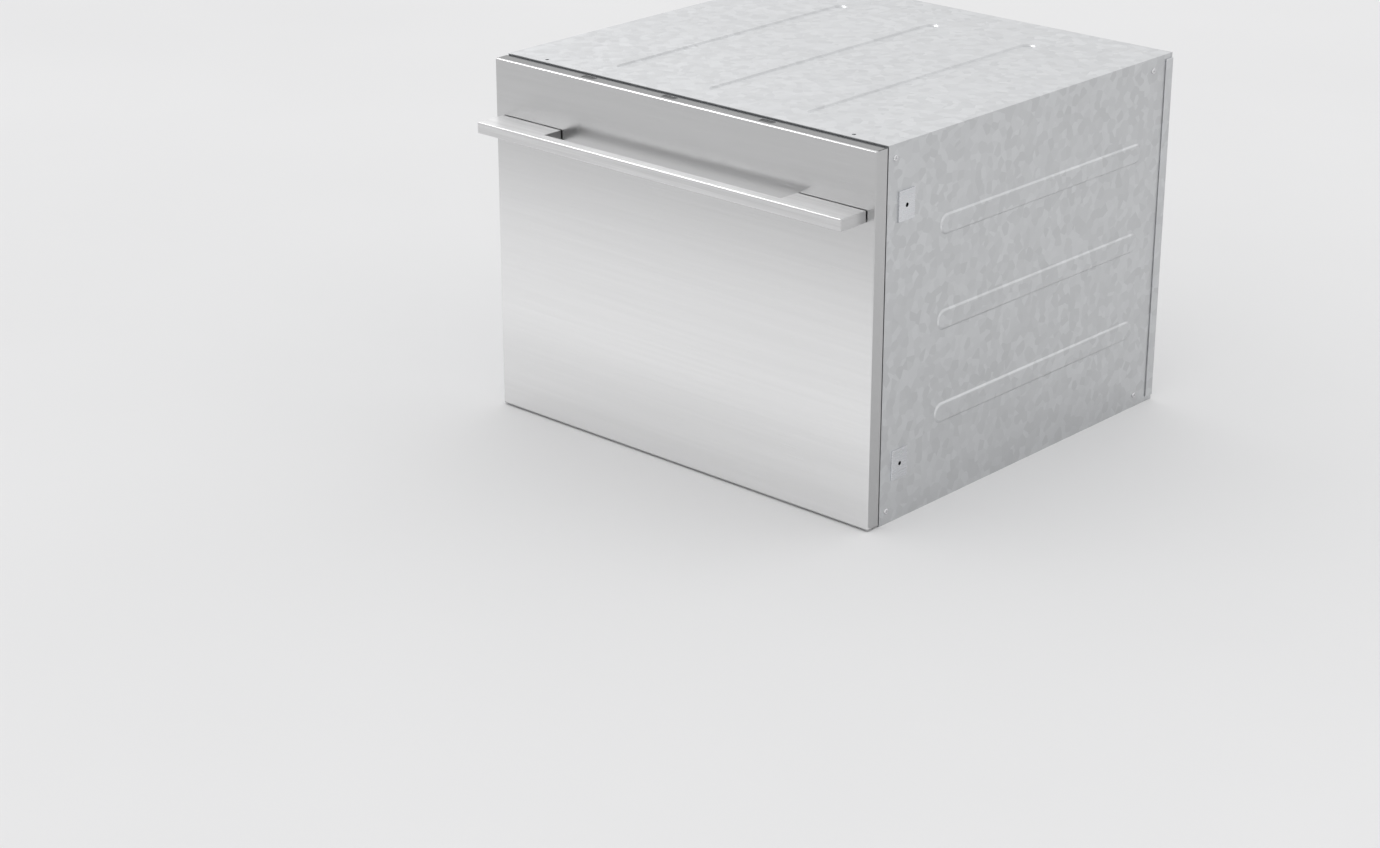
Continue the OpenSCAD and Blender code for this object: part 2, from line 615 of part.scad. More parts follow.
// Basket that clips together from flat grilles, with 0.1 mm at each joint
module cutlery_basket() color("#9aa0a4") {
    x0 = -100; x1 = 100; y0 = gy0 + 7; y1 = y0 + 80; z0 = gz1; z1 = 246; t = 2.5; g = 2.6;
    for (y = [y0, y1 - t]) difference() {
        bx(x0, x1, y, y + t, z0, z1);
        for (i = [0:9], k = [0:2]) bx(x0 + 8 + i * 19, x0 + 21 + i * 19, y - 1, y + t + 1, z0 + 12 + k * 32, z0 + 36 + k * 32);
    }
    for (x = [x0, x1 - t]) difference() {
        bx(x, x + t, y0 + g, y1 - g, z0, z1);
        for (j = [0:3], k = [0:2]) bx(x - 1, x + t + 1, y0 + 6 + j * 18, y0 + 19 + j * 18, z0 + 12 + k * 32, z0 + 36 + k * 32);
    }
    difference() {
        bx(x0 + g, x1 - g, y0 + g, y1 - g, z0, z0 + t);
        for (i = [0:9], j = [0:3]) bx(x0 + 8 + i * 19, x0 + 21 + i * 19, y0 + 6 + j * 18, y0 + 19 + j * 18, z0 - 1, z0 + 4);
    }
    for (x = [-38, 38]) bx(x - 1, x + 1, y0 + g, y1 - g, z0 + g, z1 - 12);
}

base_tray();
side_panel_left();
side_panel_right();
back_panel();
top_panel();
front_frame();
front_seal();
fixing_brackets();
slide_outers();
lid_guide_posts();
lid_motor();
shaft_bearings();
inlet_valve();
drain_outlet();
cable_gland();
power_box();
chassis_screws();
lid_shaft();
lid_pinions();
lid_shell();
lid_liner();
lid_seal();
lid_racks();
slide_middles();
outer_ball_cages();
inner_ball_cages();
front_panel();
inner_panel();
panel_insulation();
handle();
handle_screws();
control_strip();
display_window();
tub();
runner_brackets();
slide_inners();
sump();
wash_motor();
drain_pump();
heater_plate();
filter_plate();
motor_controller();
dispenser();
base_rack();
centre_tines();
rack_posts();
cutlery_basket();
power_button();
program_button();
start_button();
impeller();
spray_arm();
fine_filter();
tine_row_left();
tine_row_right();
cup_rack_left();
cup_rack_right();
dispenser_flap();
rinse_aid_cap();
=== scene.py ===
import json
import math
import bmesh
import bpy
import numpy as np
from mathutils import Matrix, Vector
from mathutils.geometry import tessellate_polygon


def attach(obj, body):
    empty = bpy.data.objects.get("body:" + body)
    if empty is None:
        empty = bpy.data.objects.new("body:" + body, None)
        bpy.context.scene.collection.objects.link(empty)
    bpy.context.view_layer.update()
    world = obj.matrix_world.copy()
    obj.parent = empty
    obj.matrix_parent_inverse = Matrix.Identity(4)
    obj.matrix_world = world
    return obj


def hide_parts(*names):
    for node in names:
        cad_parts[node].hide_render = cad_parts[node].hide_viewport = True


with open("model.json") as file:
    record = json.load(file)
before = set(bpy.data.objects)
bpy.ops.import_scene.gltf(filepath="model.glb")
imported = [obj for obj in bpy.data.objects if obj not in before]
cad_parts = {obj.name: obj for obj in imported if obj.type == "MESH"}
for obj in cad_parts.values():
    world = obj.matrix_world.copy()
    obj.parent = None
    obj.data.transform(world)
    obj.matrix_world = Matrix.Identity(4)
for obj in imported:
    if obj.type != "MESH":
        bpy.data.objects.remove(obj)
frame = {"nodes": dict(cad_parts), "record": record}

bpy.context.view_layer.update()

S = 0.001
SC = bpy.context.scene
SC.view_settings.view_transform = "Standard"

# ---------------------------------------------------------------- camera
YAW, PITCH = math.radians(42.51), math.radians(21.89)
LOOK = Vector((-math.sin(YAW) * math.cos(PITCH), math.cos(YAW) * math.cos(PITCH), -math.sin(PITCH)))
cam_data = bpy.data.cameras.new("camera")
cam_data.lens = 74.61
cam_data.sensor_width = 36
cam_data.clip_start, cam_data.clip_end = 0.05, 100
cam = bpy.data.objects.new("camera", cam_data)
cam.location = (2.168, -2.6045, 1.335)
cam.rotation_mode = "QUATERNION"
cam.rotation_quaternion = LOOK.to_track_quat("-Z", "Y")
SC.collection.objects.link(cam)
SC.camera = cam


# ---------------------------------------------------------------- materials
class Nodes:
    """A material's node tree with short calls."""

    def __init__(self, name):
        self.mat = bpy.data.materials.new(name)
        self.mat.use_nodes = True
        self.nt = self.mat.node_tree
        self.b = self.nt.nodes["Principled BSDF"]
        self.coord = None

    def new(self, kind, **values):
        n = self.nt.nodes.new(kind)
        for k, v in values.items():
            setattr(n, k, v)
        return n

    def link(self, a, b):
        self.nt.links.new(a, b)

    def place(self, scale=(1, 1, 1), turn=(0, 0, 0)):
        if self.coord is None:
            self.coord = self.new("ShaderNodeTexCoord")
        m = self.new("ShaderNodeMapping")
        m.inputs["Scale"].default_value = scale
        m.inputs["Rotation"].default_value = turn
        self.link(self.coord.outputs["Object"], m.inputs["Vector"])
        return m.outputs["Vector"]

    def noise(self, scale=(1, 1, 1), size=1.0, detail=3.0, rough=0.5, turn=(0, 0, 0), warp=0.0):
        n = self.new("ShaderNodeTexNoise")
        n.inputs["Scale"].default_value = size
        n.inputs["Detail"].default_value = detail
        n.inputs["Roughness"].default_value = rough
        n.inputs["Distortion"].default_value = warp
        self.link(self.place(scale, turn), n.inputs["Vector"])
        return n.outputs["Fac"]

    def cells(self, scale=(1, 1, 1), size=1.0, feature="F1", output="Color", random=1.0):
        n = self.new("ShaderNodeTexVoronoi", feature=feature)
        n.inputs["Scale"].default_value = size
        n.inputs["Randomness"].default_value = random
        self.link(self.place(scale), n.inputs["Vector"])
        return n.outputs[output]

    def remap(self, value, a, b, c, d):
        n = self.new("ShaderNodeMapRange")
        for k, v in zip(("From Min", "From Max", "To Min", "To Max"), (a, b, c, d)):
            n.inputs[k].default_value = v
        self.link(value, n.inputs["Value"])
        return n.outputs["Result"]

    def calc(self, op, a, b):
        n = self.new("ShaderNodeMath", operation=op)
        for i, v in enumerate((a, b)):
            if isinstance(v, (int, float)):
                n.inputs[i].default_value = v
            else:
                self.link(v, n.inputs[i])
        return n.outputs[0]

    def colours(self, value, stops):
        n = self.new("ShaderNodeValToRGB")
        ramp = n.color_ramp
        while len(ramp.elements) < len(stops):
            ramp.elements.new(0.5)
        for e, (p, c) in zip(ramp.elements, stops):
            e.position = p
            e.color = (*c, 1)
        self.link(value, n.inputs["Fac"])
        return n.outputs["Color"]

    def base(self, colour):
        self.link(colour, self.b.inputs["Base Color"])

    def rough(self, value):
        self.link(value, self.b.inputs["Roughness"])

    def bump(self, height, strength, distance):
        n = self.new("ShaderNodeBump")
        n.inputs["Strength"].default_value = strength
        n.inputs["Distance"].default_value = distance
        self.link(height, n.inputs["Height"])
        self.link(n.outputs["Normal"], self.b.inputs["Normal"])

    def set(self, **values):
        for k, v in values.items():
            self.b.inputs[k.replace("_", " ")].default_value = v


def shade(c, k):
    return tuple(min(1.0, x * k) for x in c)


def brushed(name, colour, rough, along, spread=0.5, depth=0.035, tangent=(1, 0, 0), turned=0.25, fine=2400, streak=260, bump=0.12):
    """Steel brushed along one axis: fine lines, broader streaks, and a reflection spread across the lines."""
    m = Nodes(name)
    long_fine = tuple(14 if a else fine for a in along)
    long_broad = tuple(3.0 if a else streak for a in along)
    lines = m.noise(long_fine, detail=2)
    streaks = m.noise(long_broad, detail=3, rough=0.6)
    both = m.calc("ADD", m.calc("MULTIPLY", lines, 0.45), m.calc("MULTIPLY", streaks, 0.55))
    m.base(m.colours(both, [(0.3, shade(colour, 1 - depth)), (0.7, shade(colour, 1 + depth))]))
    m.rough(m.remap(lines, 0.25, 0.75, rough - 0.035, rough + 0.035))
    m.bump(both, bump, 0.00012)
    m.set(Metallic=1.0, Anisotropic=spread)
    m.b.inputs["Anisotropic Rotation"].default_value = turned
    t = m.new("ShaderNodeCombineXYZ")
    for i, v in enumerate(tangent):
        t.inputs[i].default_value = v
    m.link(t.outputs[0], m.b.inputs["Tangent"])
    return m.mat


def zinc(name, colour, rough=0.36, size=95, contrast=0.06):
    """Hot dipped zinc: overlapping crystal flowers of slightly different tone and gloss."""
    m = Nodes(name)
    cell = m.cells(size=size)
    split = m.new("ShaderNodeSeparateColor")
    m.link(cell, split.inputs[0])
    soft = m.noise(size=9, detail=4)
    mixed = m.calc("ADD", m.calc("MULTIPLY", split.outputs[0], 0.6), m.calc("MULTIPLY", soft, 0.4))
    m.base(m.colours(mixed, [(0.15, shade(colour, 1 - contrast)), (0.85, shade(colour, 1 + contrast))]))
    m.rough(m.remap(split.outputs[1], 0, 1, rough - 0.06, rough + 0.07))
    m.bump(m.noise(size=240, detail=3), 0.05, 0.0002)
    m.set(Metallic=0.92)
    return m.mat


def plated(name, colour, rough, along):
    """Bright zinc plate on rolled or drawn steel."""
    m = Nodes(name)
    lines = m.noise(tuple(8 if a else 900 for a in along), detail=3)
    cloud = m.noise(size=22, detail=3)
    m.base(m.colours(cloud, [(0.3, shade(colour, 0.94)), (0.7, shade(colour, 1.05))]))
    m.rough(m.remap(lines, 0.25, 0.75, rough - 0.05, rough + 0.06))
    m.bump(lines, 0.06, 0.0001)
    m.set(Metallic=1.0)
    return m.mat


def moulded(name, colour, rough=0.42, grain=1800, bump=0.10, cloud=0.03, subsurface=0.0, coat=0.0):
    """Moulded plastic with a fine spark-eroded grain and slight flow marks."""
    m = Nodes(name)
    flow = m.noise(size=14, detail=4, warp=0.6)
    m.base(m.colours(flow, [(0.3, shade(colour, 1 - cloud)), (0.7, shade(colour, 1 + cloud))]))
    fine = m.noise(size=grain, detail=2)
    m.rough(m.remap(m.noise(size=60, detail=2), 0.3, 0.7, rough - 0.03, rough + 0.04))
    m.bump(fine, bump, 0.00008)
    m.set(Metallic=0.0)
    if subsurface:
        m.b.inputs["Subsurface Weight"].default_value = subsurface
        m.b.inputs["Subsurface Radius"].default_value = (0.004, 0.0035, 0.003)
        m.b.inputs["Subsurface Scale"].default_value = 1.0
    if coat:
        m.b.inputs["Coat Weight"].default_value = coat
        m.b.inputs["Coat Roughness"].default_value = 0.08
    return m.mat


def soft_rubber(name, colour):
    m = Nodes(name)
    dust = m.noise(size=160, detail=4)
    m.base(m.colours(dust, [(0.3, shade(colour, 0.9)), (0.75, shade(colour, 1.25))]))
    m.rough(m.remap(m.noise(size=45, detail=3), 0.3, 0.7, 0.62, 0.78))
    m.bump(m.noise(size=2200, detail=2), 0.12, 0.00006)
    return m.mat


def pressed_felt(name, colour):
    m = Nodes(name)
    fibre = m.noise((700, 700, 240), detail=5, rough=0.7, warp=1.5)
    blot = m.noise(size=40, detail=4)
    both = m.calc("ADD", m.calc("MULTIPLY", fibre, 0.6), m.calc("MULTIPLY", blot, 0.4))
    m.base(m.colours(both, [(0.3, shade(colour, 0.62)), (0.52, colour), (0.72, shade(colour, 1.5))]))
    m.bump(fibre, 0.7, 0.0006)
    m.set(Roughness=0.95)
    m.b.inputs["Sheen Weight"].default_value = 0.3
    return m.mat


def coated_wire(name, colour):
    """Thick nylon coat on steel wire: smooth, slightly uneven, satin."""
    m = Nodes(name)
    m.base(m.colours(m.noise(size=30, detail=3), [(0.3, shade(colour, 0.96)), (0.7, shade(colour, 1.04))]))
    m.rough(m.remap(m.noise(size=300, detail=2), 0.3, 0.7, 0.30, 0.38))
    m.bump(m.noise(size=420, detail=2), 0.10, 0.0002)
    return m.mat


def heat_tint(name):
    """Stainless plate that the heater has coloured straw to blue."""
    m = Nodes(name)
    tint = m.noise(size=16, detail=4, warp=0.8)
    m.base(m.colours(tint, [(0.25, (0.36, 0.38, 0.42)), (0.45, (0.46, 0.40, 0.32)), (0.62, (0.50, 0.42, 0.30)), (0.8, (0.36, 0.28, 0.24))]))
    m.rough(m.remap(m.noise(size=600, detail=2), 0.3, 0.7, 0.3, 0.42))
    m.set(Metallic=1.0)
    return m.mat


def gloss(name, colour, coat=0.5):
    """Gloss moulding with the faint waviness of a moulded face."""
    m = Nodes(name)
    m.base(m.colours(m.noise(size=25, detail=3), [(0.3, shade(colour, 0.9)), (0.7, shade(colour, 1.1))]))
    m.rough(m.remap(m.noise(size=90, detail=3), 0.3, 0.7, 0.10, 0.17))
    m.bump(m.noise(size=28, detail=2), 0.05, 0.0004)
    m.b.inputs["Coat Weight"].default_value = coat
    m.b.inputs["Coat Roughness"].default_value = 0.05
    return m.mat


PANEL = (0.528, 0.528, 0.530)
M = {
    "brushed_steel": brushed("steel_front", PANEL, 0.24, (1, 0, 0), spread=0.4),
    "handle_steel": brushed("steel_handle", (0.565, 0.565, 0.567), 0.33, (1, 0, 0), spread=0.7, depth=0.16, streak=210, bump=0.2),
    "handle_end": brushed("steel_handle_end", (0.570, 0.570, 0.572), 0.30, (0, 1, 0), spread=0.3, tangent=(0, 1, 0), depth=0.04),
    # painted shade: the inner sides of the handle's end blocks get a much darker copy of the handle steel
    "painted_shade_cheek": brushed("steel_painted_shade_cheek", (0.28, 0.28, 0.282), 0.34, (0, 1, 0), spread=0.3, tangent=(0, 1, 0), depth=0.05),
    # painted light: the handle bar's rear face, toward the panel, gets a much lighter copy of the handle steel, so the
    # panel's reflection of it is brighter
    "painted_light_back": brushed("steel_painted_light_back", (0.90, 0.90, 0.902), 0.34, (1, 0, 0), spread=0.3, depth=0.04),
    "galvanised_steel": zinc("zinc_sheet", (0.585, 0.593, 0.602), contrast=0.075),
    "slide_steel": plated("zinc_plate", (0.66, 0.67, 0.69), 0.27, (0, 1, 0)),
    "shaft_steel": plated("ground_bar", (0.68, 0.68, 0.69), 0.20, (1, 0, 0)),
    "screw_steel": plated("screw_zinc", (0.70, 0.70, 0.71), 0.24, (0, 0, 0)),
    "stainless_sheet": brushed("stainless_sheet", (0.62, 0.62, 0.622), 0.28, (1, 0, 0), spread=0.3, depth=0.02),
    "heater_enamel": heat_tint("heat_tinted"),
    "tub_plastic": moulded("tub_moulding", (0.50, 0.52, 0.54), rough=0.36, bump=0.05),
    "lid_plastic": moulded("lid_moulding", (0.62, 0.63, 0.64), rough=0.38, bump=0.05),
    "dark_plastic": moulded("dark_moulding", (0.035, 0.037, 0.04), rough=0.45),
    "grey_plastic": moulded("grey_moulding", (0.20, 0.21, 0.22), rough=0.42),
    "basket_plastic": moulded("basket_moulding", (0.33, 0.345, 0.36), rough=0.38),
    "white_plastic": moulded("white_moulding", (0.76, 0.76, 0.74), rough=0.36, subsurface=0.05),
    "natural_acetal": moulded("acetal", (0.80, 0.78, 0.71), rough=0.30, subsurface=0.12, bump=0.04),
    "blue_plastic": gloss("cap_blue", (0.05, 0.16, 0.30), 0.3),
    "gloss_black": gloss("strip_gloss", (0.018, 0.019, 0.021), 0.6),
    "rubber": soft_rubber("black_rubber", (0.022, 0.022, 0.023)),
    "grey_rubber": soft_rubber("grey_rubber", (0.11, 0.115, 0.12)),
    "felt": pressed_felt("grey_felt", (0.22, 0.205, 0.19)),
    "wire_coating": coated_wire("nylon_coat", (0.52, 0.545, 0.58)),
}
SLOT = {s["node"]: s["material_slot"] for s in frame["record"]["subparts"]}
BODY = {n: b for b, ns in frame["record"]["behaviour"]["bodies"].items() for n in ns}
for node, ob in frame["nodes"].items():
    for i in range(len(ob.data.materials)):
        ob.data.materials[i] = M[SLOT[node]]


# ---------------------------------------------------------------- mesh tools
def finish_mesh(name, bm, mats, node, angle=32, bevel=0.0, seg=2, weighted=True, nodes=None, slot=None, fix=True):
    """A new piece from bm, in millimetres, that stands for a node and rides on its body."""
    bmesh.ops.remove_doubles(bm, verts=bm.verts, dist=1e-4)
    if fix:
        bmesh.ops.recalc_face_normals(bm, faces=bm.faces)
    me = bpy.data.meshes.new(name)
    bm.to_mesh(me)
    bm.free()
    me.transform(Matrix.Scale(S, 4))
    ob = bpy.data.objects.new(name, me)
    SC.collection.objects.link(ob)
    for m in mats if isinstance(mats, (list, tuple)) else [mats]:
        me.materials.append(m)
    me.polygons.foreach_set("use_smooth", [True] * len(me.polygons))
    me.set_sharp_from_angle(angle=math.radians(angle))
    if bevel:
        b = ob.modifiers.new("bevel", "BEVEL")
        b.width, b.segments, b.limit_method, b.angle_limit = bevel * S, seg, "ANGLE", math.radians(angle)
        b.harden_normals, b.use_clamp_overlap, b.miter_outer = False, True, "MITER_SHARP"
    if weighted:
        w = ob.modifiers.new("normals", "WEIGHTED_NORMAL")
        w.keep_sharp, w.weight = True, 50
    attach(ob, BODY[node])
    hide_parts(*(nodes or [node]))
    slot or SLOT[node]
    return ob


def rounded(w, d, r, n=8):
    """Rounded rectangle about the origin, counter-clockwise."""
    r = max(r, 1e-3)
    out = []
    for q in range(4):
        cx = (1 if q in (0, 3) else -1) * (w / 2 - r)
        cy = (1 if q < 2 else -1) * (d / 2 - r)
        for i in range(n + 1):
            a = math.radians(q * 90 + i * 90 / n)
            out.append((cx + r * math.cos(a), cy + r * math.sin(a)))
    return out


def add_ring(bm, pts):
    return [bm.verts.new(p) for p in pts]


def bridge(bm, a, b):
    n = len(a)
    return [bm.faces.new((a[i], a[(i + 1) % n], b[(i + 1) % n], b[i])) for i in range(n)]


def loft(bm, rings, closed=False, caps=True):
    """Skin over rings of equally many points. closed joins the last to the first, caps fills both ends."""
    vs = [add_ring(bm, r) for r in rings]
    for a, b in zip(vs, vs[1:]):
        bridge(bm, a, b)
    if closed:
        bridge(bm, vs[-1], vs[0])
    elif caps:
        bm.faces.new(list(reversed(vs[0])))
        bm.faces.new(vs[-1])
    return vs


def block(bm, x0, x1, y0, y1, z0, z1):
    v = [bm.verts.new(p) for p in ((x0, y0, z0), (x1, y0, z0), (x1, y1, z0), (x0, y1, z0), (x0, y0, z1), (x1, y0, z1), (x1, y1, z1), (x0, y1, z1))]
    for f in ((3, 2, 1, 0), (4, 5, 6, 7), (0, 1, 5, 4), (1, 2, 6, 5), (2, 3, 7, 6), (3, 0, 4, 7)):
        bm.faces.new([v[i] for i in f])


def prism(bm, pts, z0, z1):
    return loft(bm, [[(x, y, z0) for x, y in pts], [(x, y, z1) for x, y in pts]])


def spin(bm, profile, place, n=48):
    """Turned shape: profile is (radius, height) pairs from one end to the other, place maps (x, y, h) to the part."""
    first, last = profile[0][0] < 1e-6, profile[-1][0] < 1e-6
    rings = []
    for r, h in profile:
        if r < 1e-6:
            rings.append([bm.verts.new(place(0, 0, h))])
        else:
            rings.append([bm.verts.new(place(r * math.cos(2 * math.pi * i / n), r * math.sin(2 * math.pi * i / n), h)) for i in range(n)])
    for a, b in zip(rings, rings[1:]):
        if len(a) == 1 and len(b) == 1:
            continue
        for i in range(n):
            j = (i + 1) % n
            if len(a) == 1:
                bm.faces.new((a[0], b[j], b[i]))
            elif len(b) == 1:
                bm.faces.new((a[i], a[j], b[0]))
            else:
                bm.faces.new((a[i], a[j], b[j], b[i]))
    if not first and not last and profile[0] != profile[-1]:
        bm.faces.new(list(reversed(rings[0])))
        bm.faces.new(rings[-1])
    return rings


def fillet(pts, radius, n=5):
    """Polyline with its corners rounded."""
    pts = [Vector(p) for p in pts]
    out = [pts[0]]
    for a, b, c in zip(pts, pts[1:], pts[2:]):
        u, v = (a - b), (c - b)
        half = u.angle(v) / 2
        cut = min(radius / math.tan(half), u.length * 0.49, v.length * 0.49)
        u, v = u.normalized(), v.normalized()
        r = cut * math.tan(half)
        centre = b + (u + v).normalized() * (r / math.sin(half))
        p, q = b + u * cut - centre, b + v * cut - centre
        total = p.angle(q)
        axis = p.cross(q).normalized()
        for i in range(n + 1):
            out.append(centre + Matrix.Rotation(total * i / n, 3, axis) @ p)
    out.append(pts[-1])
    return out


def tube(bm, pts, r, seg=10, closed=False, dome=True):
    """Round wire along pts, with domed ends."""
    pts = [Vector(p) for p in pts]
    n = len(pts)
    tans = []
    for i in range(n):
        a = pts[i - 1] if i or closed else pts[0]
        b = pts[(i + 1) % n] if i < n - 1 or closed else pts[-1]
        tans.append((b - a).normalized())
    side = tans[0].orthogonal().normalized()
    rings = []
    for i in range(n):
        side = (side - tans[i] * side.dot(tans[i])).normalized()
        up = tans[i].cross(side)
        k = 1.0
        if 0 < i < n - 1:
            c = (pts[i] - pts[i - 1]).normalized().dot((pts[i + 1] - pts[i]).normalized())
            k = 1 / max(0.5, math.sqrt(max(0.25, (1 + c) / 2)))
        rings.append((pts[i], side.copy(), up, r * (k if k < 1.05 else 1.0)))
    made = []

    def ring(p, s, u, rad):
        return [bm.verts.new(p + s * (rad * math.cos(2 * math.pi * j / seg)) + u * (rad * math.sin(2 * math.pi * j / seg))) for j in range(seg)]

    if not closed and dome:
        p, s, u, rad = rings[0]
        tip = bm.verts.new(p - tans[0] * rad)
        made += [ring(p - tans[0] * rad * math.cos(math.radians(a)), s, u, rad * math.sin(math.radians(a))) for a in (30, 60)]
        for j in range(seg):
            bm.faces.new((tip, made[0][(j + 1) % seg], made[0][j]))
    made += [ring(*x) for x in rings]
    if not closed and dome:
        p, s, u, rad = rings[-1]
        made += [ring(p + tans[-1] * rad * math.cos(math.radians(a)), s, u, rad * math.sin(math.radians(a))) for a in (60, 30)]
        tip = bm.verts.new(p + tans[-1] * rad)
        for j in range(seg):
            bm.faces.new((tip, made[-1][j], made[-1][(j + 1) % seg]))
    elif not closed:
        bm.faces.new(list(reversed(made[0])))
        bm.faces.new(made[-1])
    for a, b in zip(made, made[1:]):
        bridge(bm, a, b)
    if closed:
        bridge(bm, made[-1], made[0])


def clean_copy(node, mats=None, bevel=0.5, seg=2, angle=32, name=None, flat=0.6):
    """A node's own shape with its edges broken: welded, its flat faces made whole, then bevelled."""
    bm = bmesh.new()
    bm.from_mesh(frame["nodes"][node].data)
    bmesh.ops.remove_doubles(bm, verts=bm.verts, dist=2e-6)
    bmesh.ops.dissolve_limit(bm, angle_limit=math.radians(flat), verts=bm.verts, edges=bm.edges)
    for layer in list(bm.loops.layers.uv):
        bm.loops.layers.uv.remove(layer)
    bmesh.ops.scale(bm, vec=(1 / S, 1 / S, 1 / S), verts=bm.verts)
    for f in bm.faces:
        f.material_index = 0
    return finish_mesh(name or node + "_finished", bm, mats or M[SLOT[node]], node, angle=angle, bevel=bevel, seg=seg)


def carve(ob, cutters):
    """Cuts solids, given as bmeshes in millimetres, out of a piece, and keeps the result as its mesh."""
    made = []
    for i, bm in enumerate(cutters):
        bmesh.ops.recalc_face_normals(bm, faces=bm.faces)
        me = bpy.data.meshes.new("cutter")
        bm.to_mesh(me)
        bm.free()
        me.transform(Matrix.Scale(S, 4))
        c = bpy.data.objects.new("cutter", me)
        SC.collection.objects.link(c)
        made.append(c)
    held = [(m.name, m.type, {p: getattr(m, p) for p in ("width", "segments", "limit_method", "angle_limit", "harden_normals", "miter_outer") if hasattr(m, p)}) for m in ob.modifiers]
    ob.modifiers.clear()
    for c in made:
        m = ob.modifiers.new("cut", "BOOLEAN")
        m.object, m.operation, m.solver = c, "DIFFERENCE", "EXACT"
    bpy.context.view_layer.update()
    me = bpy.data.meshes.new_from_object(ob.evaluated_get(bpy.context.evaluated_depsgraph_get()))
    ob.modifiers.clear()
    ob.data = me
    me.polygons.foreach_set("use_smooth", [True] * len(me.polygons))
    me.set_sharp_from_angle(angle=math.radians(32))
    for name, kind, values in held:
        m = ob.modifiers.new(name, kind)
        for k, v in values.items():
            setattr(m, k, v)
        if kind == "WEIGHTED_NORMAL":
            m.keep_sharp, m.weight = True, 50
    for c in made:
        bpy.data.objects.remove(c)
    return ob


# ---------------------------------------------------------------- door: front panel and handle
YF, YP = -264.5, -244.5


def build_front_panel():
    bm = bmesh.new()
    a, b, c, d = (bm.verts.new(p) for p in ((-298, YF, 2), (298, YF, 2), (298, YF, 452), (-298, YF, 452)))
    ab, bb, cb, db = (bm.verts.new(p) for p in ((-298, YP - 1, 2), (298, YP - 1, 2), (298, YP - 1, 452), (-298, YP - 1, 452)))
    ct, dt = bm.verts.new((298, YF + 4, 452)), bm.verts.new((-298, YF + 4, 452))
    bm.faces.new((a, b, c, d))
    bm.faces.new((b, bb, cb, ct, c))
    bm.faces.new((a, d, dt, db, ab))
    bm.faces.new((a, ab, bb, b))
    bm.faces.new((d, c, ct, dt))
    bm.edges.ensure_lookup_table()
    bends = [e for e in bm.edges if {v for v in e.verts} in ({a, b}, {b, c}, {c, d}, {d, a}, {b, bb}, {a, ab}, {c, ct}, {d, dt})]
    bmesh.ops.bevel(bm, geom=bends, offset=1.3, offset_type="OFFSET", segments=5, profile=0.5, affect="EDGES", clamp_overlap=True)
    bmesh.ops.recalc_face_normals(bm, faces=bm.faces)
    front = max(bm.faces, key=lambda f: f.calc_area())
    if front.normal.y > 0:
        bmesh.ops.reverse_faces(bm, faces=bm.faces)
    bmesh.ops.solidify(bm, geom=bm.faces, thickness=1.0)
    return finish_mesh("front_skin", bm, M["brushed_steel"], "front_panel", angle=40)


def build_handle():
    hx, y0, z0, z1 = 286, YF - 44, 369, 383
    y1 = YF - 1.6      # the blocks stand clear of the panel on narrower feet
    bm = bmesh.new()
    outline = [(-hx, y0), (hx, y0), (hx, y1), (hx - 100, y1), (hx - 100, y0 + 15.4), (-hx + 100, y0 + 15.4), (-hx + 100, y1), (-hx, y1)]
    prism(bm, outline, z0, z1)
    bmesh.ops.recalc_face_normals(bm, faces=bm.faces)
    rear = [e for e in bm.edges if all(abs(v.co.y - y1) < 0.01 for v in e.verts)]
    bmesh.ops.bevel(bm, geom=[e for e in bm.edges if e not in rear], offset=0.9, offset_type="OFFSET", segments=3, profile=0.5, affect="EDGES", clamp_overlap=True)
    for f in bm.faces:
        if abs(f.normal.x) > 0.8:
            # painted shade: the inner sides of the end blocks take the darker steel copy; the outer ends keep the end
            # steel
            f.material_index = 1 if abs(f.calc_center_median().x) > hx - 50 else 2
        elif f.normal.y > 0.8 and f.calc_center_median().y < y1 - 5:
            # painted light: the bar's rear face, toward the panel, takes the lighter steel copy
            f.material_index = 4
    for s in (-1, 1):
        xs = sorted((s * (hx - 2.5), s * (hx - 97.5)))
        before = set(bm.faces)
        block(bm, xs[0], xs[1], y1 - 0.5, YF, z0 + 2.5, z1 - 2.5)
        for f in bm.faces:
            if f not in before:
                f.material_index = 3
    return finish_mesh("bar_handle", bm, [M["handle_steel"], M["handle_end"], M["painted_shade_cheek"], M["dark_plastic"], M["painted_light_back"]], "handle", angle=50, fix=False)


build_front_panel()
build_handle()


# ---------------------------------------------------------------- chassis sheets
def circle(cx, cy, r, n=32, clockwise=False):
    pts = [(cx + r * math.cos(2 * math.pi * i / n), cy + r * math.sin(2 * math.pi * i / n)) for i in range(n)]
    return pts[::-1] if clockwise else pts


def rectangle(x0, x1, y0, y1):
    return [(x0, y0), (x1, y0), (x1, y1), (x0, y1)]


def soft_block(bm, x0, x1, y0, y1, z0, z1, r=0.5, seg=2):
    """Box with its edges rounded."""
    before = set(bm.verts)
    block(bm, x0, x1, y0, y1, z0, z1)
    new = [v for v in bm.verts if v not in before]
    edges = list({e for v in new for e in v.link_edges})
    bmesh.ops.bevel(bm, geom=edges, offset=r, offset_type="OFFSET", segments=seg, profile=0.5, affect="EDGES", clamp_overlap=True)


def soft_prism(bm, pts, z0, z1, r=0.5, seg=2, place=None):
    """Upright prism with both of its rims rounded; place maps (x, y, z) elsewhere."""
    before = set(bm.verts)
    vs = prism(bm, pts, z0, z1)
    rims = {e for ring in vs for v in ring for e in v.link_edges if abs(e.verts[0].co.z - e.verts[1].co.z) < 1e-6}
    bmesh.ops.bevel(bm, geom=list(rims), offset=r, offset_type="OFFSET", segments=seg, profile=0.5, affect="EDGES", clamp_overlap=True)
    if place:
        for v in bm.verts:
            if v not in before:
                v.co = Vector(place(*v.co))


EMBOSS = ((1.9, 0.0), (1.2, 0.07), (0.6, 0.30), (0.0, 0.62), (-0.6, 0.86), (-1.3, 0.97), (-2.2, 1.0))


